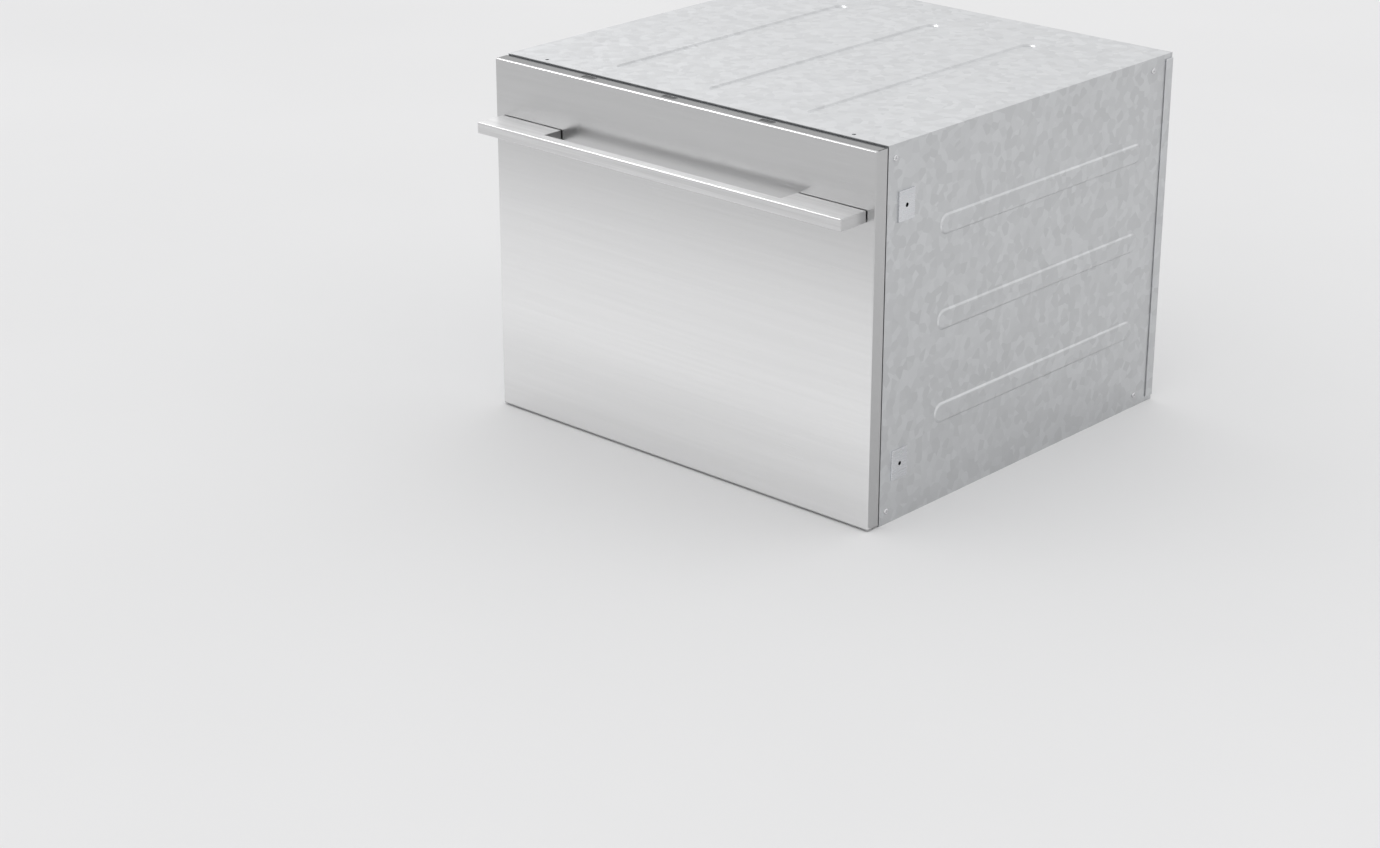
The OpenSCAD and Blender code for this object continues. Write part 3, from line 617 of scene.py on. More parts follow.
def pressed_sheet(bm, outline, holes, ribs, place, thick):
    """Sheet with holes and pressed ribs. ribs are (centre x, centre y, width, depth, corner radius, rise)."""
    before = set(bm.verts)
    loops = [list(outline)] + [list(h) for h in holes]
    rib_rings = []
    for cx, cy, w, d, r, rise in ribs:
        rings = []
        for out, up in EMBOSS:
            pts = rounded(w + 2 * out, d + 2 * out, r + out, 10)
            rings.append([(cx + x, cy + y, rise * up) for x, y in pts])
        rib_rings.append(rings)
        loops.append([(x, y) for x, y, _ in rings[0]][::-1])
    flat = [[Vector((x, y, 0)) for x, y in loop] for loop in loops]
    tris = tessellate_polygon(flat)
    verts = [bm.verts.new(place(p.x, p.y, 0)) for loop in flat for p in loop]
    made = []
    for t in tris:
        try:
            made.append(bm.faces.new([verts[i] for i in t]))
        except ValueError:
            pass
    start = sum(len(x) for x in loops[:1 + len(holes)])
    for rings in rib_rings:
        n = len(rings[0])
        last = [verts[start + n - 1 - i] for i in range(n)]
        start += n
        for ring in rings[1:]:
            new = [bm.verts.new(place(*p)) for p in ring]
            made += bridge(bm, last, new)
            last = new
        made.append(bm.faces.new(last))
    bmesh.ops.recalc_face_normals(bm, faces=made)
    out = Vector(place(0, 0, 1)) - Vector(place(0, 0, 0))
    big = max(made, key=lambda f: f.calc_area())
    big.normal_update()
    if big.normal.dot(out) < 0:
        bmesh.ops.reverse_faces(bm, faces=made)
    bmesh.ops.dissolve_limit(bm, angle_limit=math.radians(0.5), verts=[v for v in bm.verts if v not in before], edges=list({e for f in made for e in f.edges}))
    made = [f for f in bm.faces if not any(v in before for v in f.verts)]
    bmesh.ops.solidify(bm, geom=made, thickness=thick)


ZINC = M["galvanised_steel"]
for s, side in ((-1, "left"), (1, "right")):
    bm = bmesh.new()
    pressed_sheet(
        bm,
        rectangle(-243, 308.5, 0, 454),
        [rectangle(-222, -198, z - 12, z + 12)[::-1] for z in (70, 380)],
        [(52.75, z, 396.4, 22.4, 11.1, 2.0) for z in (110, 225, 340)],
        lambda a, b, h, s=s: (s * (297.5 + h), a, b),
        1.0,
    )
    x = sorted((s * 297.4, s * 299.5))
    soft_block(bm, x[0], x[1], 294.5, 308.5, 6, 448, 0.9, 3)
    finish_mesh("side_sheet_" + side, bm, ZINC, "side_panel_" + side, angle=35)

bm = bmesh.new()
pressed_sheet(
    bm,
    rectangle(-296.5, 296.5, -243, 308.5),
    [circle(x, -233, 2.5, 20, True) for x in (-240, 240)],
    [(x, 10.5, 18, 420, 8.9, -2.0) for x in (-150, 0, 150)],
    lambda a, b, h: (a, b, 454 + h),
    1.0,
)
for s in (-1, 1):
    x = sorted((s * 295.5, s * 296.5))
    soft_block(bm, x[0], x[1], -224, 283.8, 445, 453.2, 0.3)
finish_mesh("top_sheet", bm, ZINC, "top_panel", angle=35)

bm = bmesh.new()
pressed_sheet(
    bm,
    rectangle(-296.5, 296.5, 2, 453),
    [circle(-200, 60, 17, 40, True), circle(-140, 60, 12, 32, True), circle(-80, 60, 9, 32, True)],
    [(x, 262, 26, 268, 12.9, 1.6) for x in (-232, -116, 0, 116, 232)],
    lambda a, b, h: (a, 285 + h, b),
    1.2,
)
finish_mesh("back_sheet", bm, ZINC, "back_panel", angle=35)


# ---------------------------------------------------------------- screws
def pan_head(bm, place, r=3.6, h=1.6):
    """Screw head with a cross recess; place maps (x, y, height) to the part."""
    n = 32
    arm, half, deep = r * 0.55, r * 0.13, h * 0.62
    cross = [(arm, half), (half * 1.5, half * 1.5), (half, arm), (-half, arm), (-half * 1.5, half * 1.5), (-arm, half), (-arm, -half), (-half * 1.5, -half * 1.5),
             (-half, -arm), (half, -arm), (half * 1.5, -half * 1.5), (arm, -half)]
    prof = [(1.0, 0.0), (1.0, 0.3), (0.95, 0.62), (0.84, 0.86), (0.7, 1.0)]
    rings = [[(r * k * math.cos(2 * math.pi * i / n), r * k * math.sin(2 * math.pi * i / n), h * u) for i in range(n)] for k, u in prof]
    vs = [[bm.verts.new(place(*p)) for p in ring] for ring in rings]
    for a, b in zip(vs, vs[1:]):
        bridge(bm, a, b)
    bm.faces.new(vs[0][::-1])
    top = [Vector((x, y, 0)) for x, y, _ in rings[-1]]
    hole = [Vector((x, y, 0)) for x, y in cross]
    rim = [bm.verts.new(place(x, y, h)) for x, y in cross]
    verts = vs[-1] + rim
    for t in tessellate_polygon([top, hole[::-1]]):
        idx = [i if i < n else n + (len(cross) - 1 - (i - n)) for i in t]
        bm.faces.new([verts[i] for i in idx])
    low = [bm.verts.new(place(x * 0.6, y * 0.6, h - deep)) for x, y in cross]
    bridge(bm, rim, low)
    bm.faces.new(low)


bm = bmesh.new()
for s in (-1, 1):
    for y in (-231, 268.5):
        for z in (16, 438):
            pan_head(bm, lambda a, b, h, s=s, y=y, z=z: (s * (297.5 + h), y + a, z + b))
for x in (-280, -140, 0, 140, 280):
    pan_head(bm, lambda a, b, h, x=x: (x + a, 285 + h, 440 + b), h=1.8)
for x in (-280, 0, 140, 280):
    pan_head(bm, lambda a, b, h, x=x: (x + a, 285 + h, 14 + b), h=1.8)
finish_mesh("sheet_screws", bm, M["screw_steel"], "chassis_screws", angle=40)


# ---------------------------------------------------------------- rear connections
def threaded(bm, place, crest, root, h0, h1, pitch, n=40):
    """Outer thread with a run-out at each end, open at both ends; returns its first and last ring."""
    steps = int((h1 - h0) / pitch * 8)
    rings = []
    for k in range(steps + 1):
        h = h0 + (h1 - h0) * k / steps
        ring = []
        for i in range(n):
            t = (h / pitch - i / n) % 1
            wave = 1 - abs(2 * t - 1)
            wave = min(1, max(0, (wave - 0.12) / 0.76))
            ease = min(1, (h - h0) / pitch, (h1 - h) / pitch)
            r = root + (crest - root) * (wave * ease)
            ring.append(place(r * math.cos(2 * math.pi * i / n), r * math.sin(2 * math.pi * i / n), h))
        rings.append(add_ring(bm, ring))
    for a, b in zip(rings, rings[1:]):
        bridge(bm, a, b)
    return rings[0], rings[-1]


def along_y(cx, cz):
    return lambda a, b, h: (cx + a, h, cz - b)


bm = bmesh.new()
soft_block(bm, -222, -178, 249, 283.8, 42, 78, 2.0, 3)
soft_block(bm, -190, -178, 239, 249.5, 54, 66, 1.0, 2)
spin(bm, [(0, 77), (13.0, 77), (14, 78.2), (14, 110.5), (13.2, 111.7), (6, 112), (0, 112)], lambda a, b, h: (-200 + a, 266 + b, h), 48)
place = along_y(-200, 60)
lo, hi = threaded(bm, place, 13.2, 12.1, 286.2, 301.0, 1.814)
n = len(lo)
base = [add_ring(bm, [place(r * math.cos(2 * math.pi * i / n), r * math.sin(2 * math.pi * i / n), h) for i in range(n)]) for r, h in ((13.2, 283.8), (13.2, 285.4))]
bridge(bm, base[0], base[1])
bridge(bm, base[1], lo)
bm.faces.new(base[0][::-1])
end = [add_ring(bm, [place(r * math.cos(2 * math.pi * i / n), r * math.sin(2 * math.pi * i / n), h) for i in range(n)]) for r, h in ((11.8, 302.0), (9.6, 302.0), (9.0, 301.4), (9.0, 293.0))]
bridge(bm, hi, end[0])
for a, b in zip(end, end[1:]):
    bridge(bm, a, b)
bm.faces.new(end[-1])
finish_mesh("water_valve", bm, M["white_plastic"], "inlet_valve", angle=40)

bm = bmesh.new()
soft_block(bm, -155, -125, 265, 283.8, 45, 75, 2.0, 3)
spin(bm, [(9.0, 283.0), (9.0, 288.0), (10.0, 288.6), (10.0, 290.0), (9.0, 293.4), (10.0, 294.0), (10.0, 295.4), (9.0, 298.8), (10.0, 299.4), (10.0, 301.2), (9.3, 305.2), (8.7, 306.0), (7.9, 306.0), (7.5, 305.4), (7.5, 269.5), (9.0, 269.5), (9.0, 283.0)],
     along_y(-140, 60), 40)
finish_mesh("waste_spigot", bm, M["grey_plastic"], "drain_outlet", angle=40)

bm = bmesh.new()
spin(bm, [(4.5, 273.4), (8.7, 273.0), (8.7, 285.0), (8.7, 294.0), (8.9, 294.4), (8.9, 295.4), (8.0, 297.4), (6.2, 298.9), (4.9, 299.0), (4.5, 298.4), (4.5, 273.4)], along_y(-80, 60), 40)
hexagon = [(12 * math.cos(math.radians(60 * i)), 12 * math.sin(math.radians(60 * i))) for i in range(6)]
soft_prism(bm, hexagon, 285, 294, 0.7, 2, place=lambda a, b, h: (-80 + a, h, 60 - b))
finish_mesh("lead_gland", bm, M["dark_plastic"], "cable_gland", angle=35)

# ---------------------------------------------------------------- keys in the top edge of the door
for key, x in (("power", -150), ("program", -20), ("start", 130)):
    bm = bmesh.new()
    steps = [(12.0, 4.8, 0.8, 446.8), (12.0, 4.8, 0.8, 448.4), (10.0, 4.0, 2.0, 448.4), (10.0, 4.0, 2.0, 451.1), (9.92, 3.92, 1.92, 451.45), (9.7, 3.7, 1.7, 451.7), (9.4, 3.4, 1.4, 451.8), (8.6, 2.7, 1.0, 451.74), (6.5, 1.4, 0.6, 451.6)]
    loft(bm, [[(x + a, -252.55 + b, z) for a, b in rounded(2 * w, 2 * d, r, 6)] for w, d, r, z in steps])
    finish_mesh(key + "_key", bm, M[SLOT[key + "_button"]], key + "_button", angle=40)

# ---------------------------------------------------------------- parts that keep their own shape, with broken edges
for node, width, seg in (
    ("base_tray", 0.3, 2), ("front_frame", 0.35, 2), ("front_seal", 0.7, 3), ("fixing_brackets", 0.4, 2),
    ("lid_guide_posts", 0.35, 2), ("lid_motor", 0.7, 3), ("shaft_bearings", 0.7, 2), ("power_box", 1.6, 3), ("lid_shaft", 0.5, 2), ("lid_pinions", 0.18, 2),
    ("lid_shell", 1.6, 3), ("lid_liner", 0.4, 2), ("lid_racks", 0.18, 2), ("slide_outers", 0.35, 2), ("slide_middles", 0.35, 2), ("slide_inners", 0.35, 2),
    ("inner_panel", 1.0, 3), ("control_strip", 0.35, 2), ("display_window", 0.2, 2), ("runner_brackets", 0.35, 2), ("sump", 0.8, 2), ("wash_motor", 1.2, 2), ("drain_pump", 1.0, 2), ("heater_plate", 0.5, 2),
    ("motor_controller", 1.6, 3), ("dispenser", 0.9, 3), ("dispenser_flap", 0.8, 3), ("rinse_aid_cap", 0.45, 3), ("rack_posts", 1.0, 2), ("impeller", 0.4, 2),
    ("fine_filter", 0.5, 2), ("cutlery_basket", 0.55, 2), ("handle_screws", 0.3, 2),
):
    clean_copy(node, bevel=width, seg=seg, mats=M["basket_plastic"] if node == "cutlery_basket" else None)


# ---------------------------------------------------------------- lid seal, tub
def rr_ring(x0, x1, y0, y1, r, z, n=10):
    return [((x0 + x1) / 2 + x, (y0 + y1) / 2 + y, z) for x, y in rounded(x1 - x0, y1 - y0, r, n)]


TX, TY0, TY1 = 270, -232, 225
bm = bmesh.new()
section = [(2.9, 405.7), (3.5, 406.3), (3.7, 407.4), (3.4, 408.6), (2.7, 409.4), (2.6, 411.0), (3.3, 413.0), (-3.4, 413.0), (-3.0, 411.0), (-3.3, 409.6), (-3.5, 407.6), (-2.6, 406.2), (-1.0, 405.7), (1.2, 405.65)]
loft(bm, [rr_ring(-270 - o, 270 + o, TY0 - o, TY1 + o, 28.5 + o, z, 12) for o, z in section], closed=True)
finish_mesh("lid_bulb_seal", bm, M["grey_rubber"], "lid_seal", angle=60)

YM, YL = -3.5, -88.5


def two_lobes(r1, r2, n=96):
    """Outline of two overlapping circles about the pump and filter axes."""
    d = YM - YL
    up = math.degrees(math.acos((d * d + r1 * r1 - r2 * r2) / (2 * d * r1)))
    down = math.degrees(math.acos((d * d + r2 * r2 - r1 * r1) / (2 * d * r2)))
    a = [(-90 + up) + (360 - 2 * up) * i / (n - 1) for i in range(n)]
    b = [(90 + down) + (360 - 2 * down) * i / 47 for i in range(48)][1:-1]
    return [(r1 * math.cos(math.radians(t)), YM + r1 * math.sin(math.radians(t))) for t in a] + [(r2 * math.cos(math.radians(t)), YL + r2 * math.sin(math.radians(t))) for t in b]


def floor_with_hole(bm, ring, loop, z, up):
    """Flat face between a ring of vertices and a hole's ring of vertices."""
    outer = [Vector((v.co.x, v.co.y, 0)) for v in ring]
    hole = [Vector((v.co.x, v.co.y, 0)) for v in loop]
    verts = list(ring) + list(loop)
    n = len(outer)
    m = len(hole)
    for t in tessellate_polygon([outer, hole[::-1]]):
        idx = [i if i < n else n + (m - 1 - (i - n)) for i in t]
        f = bm.faces.new([verts[i] for i in idx])
        f.normal_update()
        if (f.normal.z > 0) != up:
            f.normal_flip()


bm = bmesh.new()
IN = 4


def wall(o, z, r):
    side = o * 4 / 3 if o > 0 else o
    return rr_ring(-TX - side, TX + side, TY0 - o, TY1 + o, r, z, 12)


outside = [(-7.0, 78.0, 23.0), (-3.4, 78.9, 26.6), (-0.9, 81.4, 29.1), (0.0, 85.0, 30.0), (0.0, 250.0, 30.0), (0.0, 397.0, 30.0), (0.6, 398.4, 30.6), (2.0, 399.0, 32.0)]
flange = [(5.2, 399.0, 33.2), (5.8, 399.4, 33.8), (6.0, 400.2, 34.0), (6.0, 403.4, 34.0), (5.6, 404.5, 33.6), (4.6, 405.0, 32.6)]
inside = [(-2.6, 405.0, 27.4), (-3.6, 404.5, 26.4), (-4.0, 403.2, 26.0), (-4.0, 366.0, 26.0), (-4.3, 364.6, 25.7), (-5.0, 363.6, 25.0), (-5.4, 362.2, 24.6), (-5.4, 200.0, 24.6),
          (-6.2, 116.0, 23.8), (-6.6, 100.0, 23.4), (-8.0, 92.5, 22.0), (-11.0, 86.6, 19.0), (-15.6, 83.1, 15.0), (-21.0, 82.0, 12.0)]
vs = loft(bm, [wall(o, z, r) for o, z, r in outside + flange + inside], caps=False)
hole_low = add_ring(bm, [(x, y, 78.0) for x, y in two_lobes(66, 40)])
hole_top = add_ring(bm, [(x, y, 82.0) for x, y in two_lobes(66, 40)])
bridge(bm, hole_low, hole_top)
floor_with_hole(bm, vs[-1], hole_top, 82.0, True)
floor_with_hole(bm, vs[0], hole_low, 78.0, False)
for s in (-1, 1):
    for y in (-180, -90, 0, 90, 180):
        x = sorted((s * 269.0, s * 275.6))
        soft_block(bm, x[0], x[1], YM + y - 1.5, YM + y + 1.5, 192, 399.5, 0.6)
for x in (-200, -100, 0, 100, 200):
    soft_block(bm, x - 1.5, x + 1.5, 224.0, 229.8, 92, 399.5, 0.6)
tub = finish_mesh("wash_tub", bm, M["tub_plastic"], "tub", angle=38)
cut = bmesh.new()
block(cut, -90, 70, -240, -218, 267, 347)
carve(tub, [cut])


# ---------------------------------------------------------------- racks
WIRE = M["wire_coating"]
GX, GY0, GY1 = 252, -214, 207
XS = [-250 + 31.25 * i for i in range(17)]
YS = [-212 + (417 / 13) * j for j in range(14)]
bm = bmesh.new()
for y in YS:
    tube(bm, fillet([(-250, y, 158.6), (-250, y, 132.5), (250, y, 132.5), (250, y, 158.6)], 9, 6), 1.75, 10)
for x in XS:
    tube(bm, fillet([(x, -212, 160), (x, -212, 131.6), (x, 205, 131.6), (x, 205, 160)], 9, 6), 1.75, 10)
tube(bm, [(x, (GY0 + GY1) / 2 + y, 160) for x, y in rounded(500, 417, 12, 6)], 2.1, 10, closed=True)
tube(bm, [(x, (GY0 + GY1) / 2 + y, 146) for x, y in rounded(500, 417, 12, 6)], 1.6, 10, closed=True)
for x in (-203, 203):
    for y in (YM - 165, YM + 165):
        soft_block(bm, x - 5, x + 5, y - 5, y + 5, 82, 133.5, 1.8, 3)
        soft_block(bm, x - 18, x + 18, y - 3, y + 3, 130, 134, 1.2, 2)
for s in (-1, 1):
    for y in (-97.5, 27.5, 177.5):
        soft_block(bm, s * 170 - 5, s * 170 + 5, y - 5, y + 5, 130, 143.5, 1.6, 3)
        soft_block(bm, s * 170 - 18, s * 170 + 18, y - 3, y + 3, 130, 134, 1.2, 2)
finish_mesh("base_rack_wires", bm, WIRE, "base_rack", angle=50)


def comb(bm, x, z, y0, n, h, lead, r=2.0):
    """Rod with upright wires whose feet bend into it."""
    tube(bm, [(x, y0 - lead + 2.15, z), (x, y0 + (n - 1) * 25 + lead - 2.15, z)], 2.15, 12)
    for i in range(n):
        y = y0 + i * 25
        tube(bm, [(x, y, z), (x, y, z + h * 0.5), (x, y, z + h - r)], r, 10)


bm = bmesh.new()
for s in (-1, 1):
    comb(bm, s * 60, 136.6, YM - 30, 9, 97, 12, 1.9)
    for y in (YM - 40, YM + 180):
        soft_block(bm, s * 60 - 2, s * 60 + 2, y - 2, y + 2, 132.5, 137.2, 0.6)
finish_mesh("centre_tine_wires", bm, WIRE, "centre_tines", angle=50)
for s, side in ((-1, "left"), (1, "right")):
    bm = bmesh.new()
    comb(bm, s * 170, 138.5, -85, 11, 90, 21, 1.9)
    finish_mesh("folding_tines_" + side, bm, WIRE, "tine_row_" + side, angle=50)
    bm = bmesh.new()
    y0, y1 = -97.5, 177.5
    tube(bm, [(s * 256, y0 - 5.85, 250), (s * 256, y1 + 5.85, 250)], 2.15, 12)
    frame_loop = [(s * (206 + x), (y0 + y1) / 2 + y, 250) for x, y in rounded(80 - 3, 275 - 3, 12, 6)]
    tube(bm, frame_loop, 1.9, 10, closed=True)
    for i in range(1, 4):
        x = s * (166 + 1.5 + i * 77 / 4)
        tube(bm, [(x, y0 + 1.6, 250.3), (x, y1 - 1.6, 250.3)], 1.5, 8, dome=False)
    for j in range(1, 11):
        y = y0 + 1.5 + j * 272 / 11
        tube(bm, [(s * 167.6, y, 249.6), (s * 244.4, y, 249.6)], 1.4, 8, dome=False)
    for y in (y0 + 30, 7.5, 47.5, y1 - 30):
        tube(bm, [(s * 243, y, 250), (s * 256, y, 250)], 1.5, 8, dome=False)
    finish_mesh("cup_shelf_" + side, bm, WIRE, "cup_rack_" + side, angle=50)

# ---------------------------------------------------------------- spray arm
bm = bmesh.new()


def arm_width(x):
    pts = [(0, 38), (12, 38), (36, 32), (70, 22), (150, 17), (208, 11), (212, 6)]
    x = abs(x)
    for (a, p), (b, q) in zip(pts, pts[1:]):
        if x <= b:
            return p + (q - p) * (x - a) / (b - a)
    return 6


xs_ = [212 * math.sin(math.radians(90 * i / 28)) for i in range(-28, 29)]
rings = []
for x in xs_:
    w = max(1.2, arm_width(x) * (1 if abs(x) < 208 else 0.75))
    top = 116.0 - 5.0 * (abs(x) / 212) ** 2
    mid, h = (104 + top) / 2, (top - 104) / 2
    k = math.sqrt(max(0.02, 1 - max(0, (abs(x) - 204) / 8.2) ** 2))
    ring = []
    for i in range(24):
        t = 2 * math.pi * i / 24
        c, s_ = math.cos(t), math.sin(t)
        ring.append((x, YM + w * k * math.copysign(abs(c) ** 0.75, c), mid + h * k * math.copysign(abs(s_) ** 0.62, s_)))
    rings.append(ring)
loft(bm, rings)
spin(bm, [(16.1, 95), (20.6, 95), (21, 95.6), (21, 103.0), (24, 105.0), (24, 106), (16.1, 106), (16.1, 95)], lambda a, b, h: (a, YM + b, h), 48)
spin(bm, [(0, 117.6), (9, 117.4), (17, 116.6), (22, 115.2), (23, 113.6), (23, 112), (0, 112)], lambda a, b, h: (a, YM + b, h), 48)
for i in range(8):
    for s in (-1, 1):
        cx, cy = s * (45 + i * 21), YM + s * 5
        z = 116.0 - 5.0 * (abs(cx) / 212) ** 2
        spin(bm, [(0, z - 1.2), (3.6, z - 1.2), (3.4, z + 0.5), (2.9, z + 1.0), (1.5, z + 1.0), (1.2, z + 0.2), (0, z + 0.1)], lambda a, b, h, cx=cx, cy=cy: (cx + a * 0.75, cy + b * 1.15, h), 20)
finish_mesh("wash_arm", bm, M["grey_plastic"], "spray_arm", angle=45)

# ---------------------------------------------------------------- filter plate
bm = bmesh.new()
Z0, Z1 = 82.0, 85.0
N_A, R_IN, R_OUT, N_R = 75, 22.5, 60.0, 9
ang = [math.radians(-60 + 300 * i / (2 * N_A)) for i in range(2 * N_A + 1)]
rad = [R_IN + (R_OUT - R_IN) * j / (2 * N_R) for j in range(2 * N_R + 1)]
sheets = {}
for z in (Z1, Z0):
    grid = {}
    for j in range(2 * N_R + 1):
        for i in range(2 * N_A + 1):
            if i % 2 and j % 2:
                continue
            grid[i, j] = bm.verts.new((rad[j] * math.cos(ang[i]), YM + rad[j] * math.sin(ang[i]), z))
    holes = []
    for j in range(0, 2 * N_R, 2):
        for i in range(0, 2 * N_A, 2):
            edge = [grid[i, j], grid[i + 1, j], grid[i + 2, j], grid[i + 2, j + 1], grid[i + 2, j + 2], grid[i + 1, j + 2], grid[i, j + 2], grid[i, j + 1]]
            c = Vector((rad[j + 1] * math.cos(ang[i + 1]), YM + rad[j + 1] * math.sin(ang[i + 1]), z))
            cell = 2 * math.pi * rad[j + 1] * (300 / 360) / N_A
            r = min(1.25, cell * 0.33)
            hole = []
            for v in edge:
                d = (v.co - c).normalized()
                hole.append(bm.verts.new(c + d * r))
            for k in range(8):
                bm.faces.new((edge[k], edge[(k + 1) % 8], hole[(k + 1) % 8], hole[k]))
            holes.append(hole)
    edge_loop = [grid[i, 2 * N_R] for i in range(2 * N_A + 1)] + [grid[2 * N_A, j] for j in range(2 * N_R - 1, -1, -1)] + [grid[i, 0] for i in range(2 * N_A - 1, -1, -1)] + [grid[0, j] for j in range(1, 2 * N_R)]
    post = add_ring(bm, [(x, y, z) for x, y in circle(0, YM, 16, 48)])
    well = add_ring(bm, [(x, y, z) for x, y in circle(0, YL, 33, 64)])
    inset = 0.7 if z == Z1 else 0.0
    rim = add_ring(bm, [(x, YM + y, z) for x, y in rounded(300 - 2 * inset, 300 - 2 * inset, 30 - inset, 10)])
    loops = [rim, edge_loop, post, well]
    verts = [v for l in loops for v in l]
    for t in tessellate_polygon([[Vector((v.co.x, v.co.y, 0)) for v in l] for l in loops]):
        try:
            bm.faces.new([verts[i] for i in t])
        except ValueError:
            pass
    sheets[z] = (rim, post, well, holes)
side = add_ring(bm, [(x, YM + y, Z1 - 0.7) for x, y in rounded(300, 300, 30, 10)])
bridge(bm, sheets[Z0][0], side)
bridge(bm, side, sheets[Z1][0])
bridge(bm, sheets[Z0][2], sheets[Z1][2])
bridge(bm, sheets[Z0][1], sheets[Z1][1])
for a, b in zip(sheets[Z0][3], sheets[Z1][3]):
    bridge(bm, a, b)
spin(bm, [(15.99, 62.5), (16.0, 100.8), (15.2, 102.0), (12.8, 102.0), (12.0, 101.2), (12.0, 62.5), (15.99, 62.5)], lambda a, b, h: (a, YM + b, h), 48)
finish_mesh("filter_sheet", bm, M["stainless_sheet"], "filter_plate", angle=35)

# ---------------------------------------------------------------- slide balls and cages
for node, balls in (("outer_ball_cages", ((6.0, 19.15, 3.0, 9.0),)), ("inner_ball_cages", ((8.5, 13.65, 5.5, 11.5),))):
    bm = bmesh.new()
    for s in (-1, 1):
        for u, v, u0, u1 in balls:
            for k in (-1, 1):
                z = 152.5 + k * v
                x = sorted((s * (296.5 - u0), s * (296.5 - u1)))
                soft_block(bm, x[0], x[1], -92, 148, z - 0.5, z + 0.5, 0.3)
                for i in range(8):
                    bmesh.ops.create_icosphere(bm, subdivisions=3, radius=1.9, matrix=Matrix.Translation((s * (296.5 - u), -77 + 30 * i, z)))
    finish_mesh(node + "_round", bm, M["slide_steel"], node, angle=50)

# ---------------------------------------------------------------- sound deadening felt in the door
bm = bmesh.new()
rows = []
NX, NZ = 56, 34
for side in (0, 1):
    g = []
    for j in range(NZ + 1):
        for i in range(NX + 1):
            u, v = i / NX, j / NZ
            edge = min(u, 1 - u, v, 1 - v)
            puff = min(1.0, (edge / 0.03) ** 0.5) if edge > 0 else 0.0
            wave = 0.35 * math.sin(u * 23 + v * 9) * math.sin(v * 17 - u * 5)
            y = -255.0 + (-7.2 if side == 0 else 7.2) * (0.55 + 0.42 * puff) + wave * puff * 0.5
            g.append(bm.verts.new((-280 + 560 * u, y, 18 + 340 * v)))
    rows.append(g)
for side, g in enumerate(rows):
    for j in range(NZ):
        for i in range(NX):
            q = [g[j * (NX + 1) + i], g[j * (NX + 1) + i + 1], g[(j + 1) * (NX + 1) + i + 1], g[(j + 1) * (NX + 1) + i]]
            bm.faces.new(q if side == 0 else q[::-1])
a, b = rows
border = [i for i in range(NX + 1)] + [j * (NX + 1) + NX for j in range(1, NZ + 1)] + [NZ * (NX + 1) + i for i in range(NX - 1, -1, -1)] + [j * (NX + 1) for j in range(NZ - 1, 0, -1)]
for k in range(len(border)):
    i, j = border[k], border[(k + 1) % len(border)]
    bm.faces.new((a[j], a[i], b[i], b[j]))
felt = finish_mesh("door_felt", bm, M["felt"], "panel_insulation", angle=60, weighted=False)


# ---------------------------------------------------------------- stage and light
def floor_material():
    m = Nodes("studio_floor")
    m.base(m.colours(m.noise(size=1.2, detail=3), [(0.3, (0.80, 0.80, 0.802)), (0.7, (0.82, 0.82, 0.822))]))
    m.set(Roughness=0.85)
    m.b.inputs["Specular IOR Level"].default_value = 0.1
    return m.mat


bm = bmesh.new()
rings = [[(r * math.cos(2 * math.pi * i / 96), r * math.sin(2 * math.pi * i / 96), 0) for i in range(96)] for r in (2, 6, 20, 60)]
centre = bm.verts.new((0, 0, 0))
vs = [add_ring(bm, r) for r in rings]
for i in range(96):
    bm.faces.new((centre, vs[0][i], vs[0][(i + 1) % 96]))
for p, q in zip(vs, vs[1:]):
    bridge(bm, p, q)
bmesh.ops.recalc_face_normals(bm, faces=bm.faces)
me = bpy.data.meshes.new("floor")
bm.to_mesh(me)
bm.free()
if me.polygons[0].normal.z < 0:
    me.flip_normals()
me.materials.append(floor_material())
floor = bpy.data.objects.new("floor", me)
SC.collection.objects.link(floor)

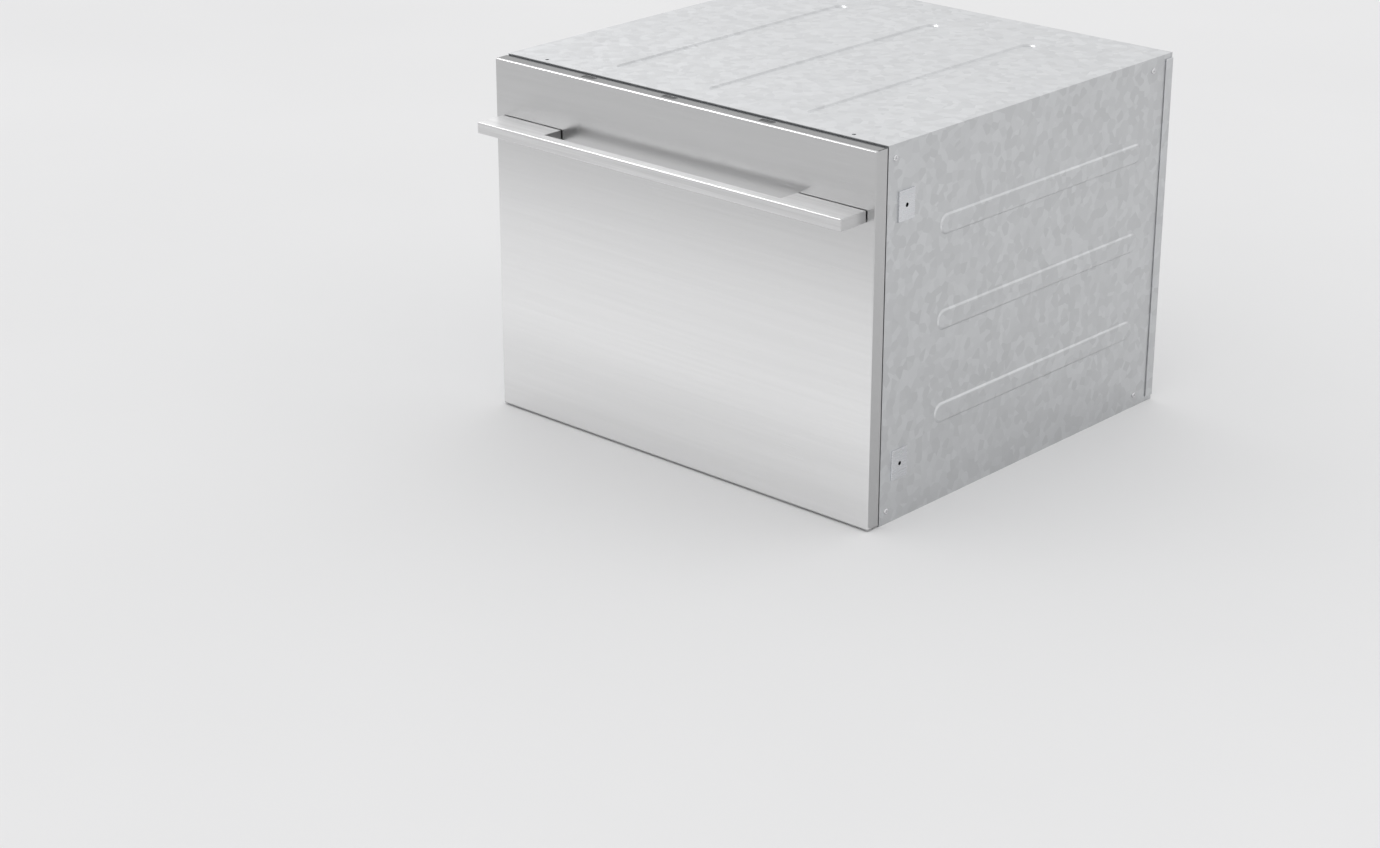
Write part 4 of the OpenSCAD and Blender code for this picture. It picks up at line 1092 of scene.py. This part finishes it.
world = bpy.data.worlds.new("studio")
SC.world = world
world.use_nodes = True
wt = world.node_tree
bg = wt.nodes["Background"]
bg.inputs["Strength"].default_value = 1.0
sky = wt.nodes.new("ShaderNodeTexCoord")
height = wt.nodes.new("ShaderNodeSeparateXYZ")
fade = wt.nodes.new("ShaderNodeValToRGB")
wt.links.new(sky.outputs["Generated"], height.inputs[0])
wt.links.new(height.outputs[2], fade.inputs["Fac"])
wt.links.new(fade.outputs["Color"], bg.inputs["Color"])
while len(fade.color_ramp.elements) < 5:
    fade.color_ramp.elements.new(0.5)
for e, (p, v) in zip(fade.color_ramp.elements, ((0.0, 0.815), (0.2, 0.82), (0.38, 1.34), (0.6, 0.95), (1.0, 0.95))):
    e.position, e.color = p, (v, v, v * 1.004, 1)


def softbox(name, place, target, size, watts, colour=(1, 1, 1)):
    light = bpy.data.lights.new(name, "AREA")
    light.shape, light.size, light.size_y = "RECTANGLE", size[0], size[1]
    light.energy, light.color = watts, colour
    o = bpy.data.objects.new(name, light)
    o.location = place
    o.rotation_mode = "QUATERNION"
    o.rotation_quaternion = (Vector(target) - Vector(place)).to_track_quat("-Z", "Y")
    o.visible_camera = False
    SC.collection.objects.link(o)
    return o


# reflected in the front panel only, low on the floor before it, and fading out from above
for i, (y, w, p) in enumerate(((-0.99, 0.13, 0.3), (-0.7, 0.44, 2.85), (-0.41, 0.18, 0.94), (-0.29, 0.06, 0.27))):
    card = softbox("floor_card_%d" % i, (-0.6, y, 0.004), (-0.6, y, 1), (3.4, w), p)
    card.visible_diffuse = False
    card.data.use_nodes = True
    ct = card.data.node_tree
    glow = next(n for n in ct.nodes if n.type == "EMISSION")
    seen = ct.nodes.new("ShaderNodeNewGeometry")
    part = ct.nodes.new("ShaderNodeSeparateXYZ")
    steep = ct.nodes.new("ShaderNodeMapRange")
    for k, v in (("From Min", 0.6), ("From Max", 0.8), ("To Min", 1.0), ("To Max", 0.0)):
        steep.inputs[k].default_value = v
    ct.links.new(seen.outputs["Incoming"], part.inputs[0])
    ct.links.new(part.outputs[2], steep.inputs["Value"])
    ct.links.new(steep.outputs[0], glow.inputs["Strength"])
edge_light = softbox("upper_left_box", (-2.0, -1.4, 2.5), (0, 0, 0.2), (1.6, 0.9), 18)
edge_light.visible_diffuse = False
top_light = softbox("over_the_bar_box", (-1.7, -0.1, 2.3), (0, -0.29, 0.38), (1.8, 0.5), 24)
top_light.visible_diffuse = False

# ---------------------------------------------------------------- end
bpy.context.view_layer.update()
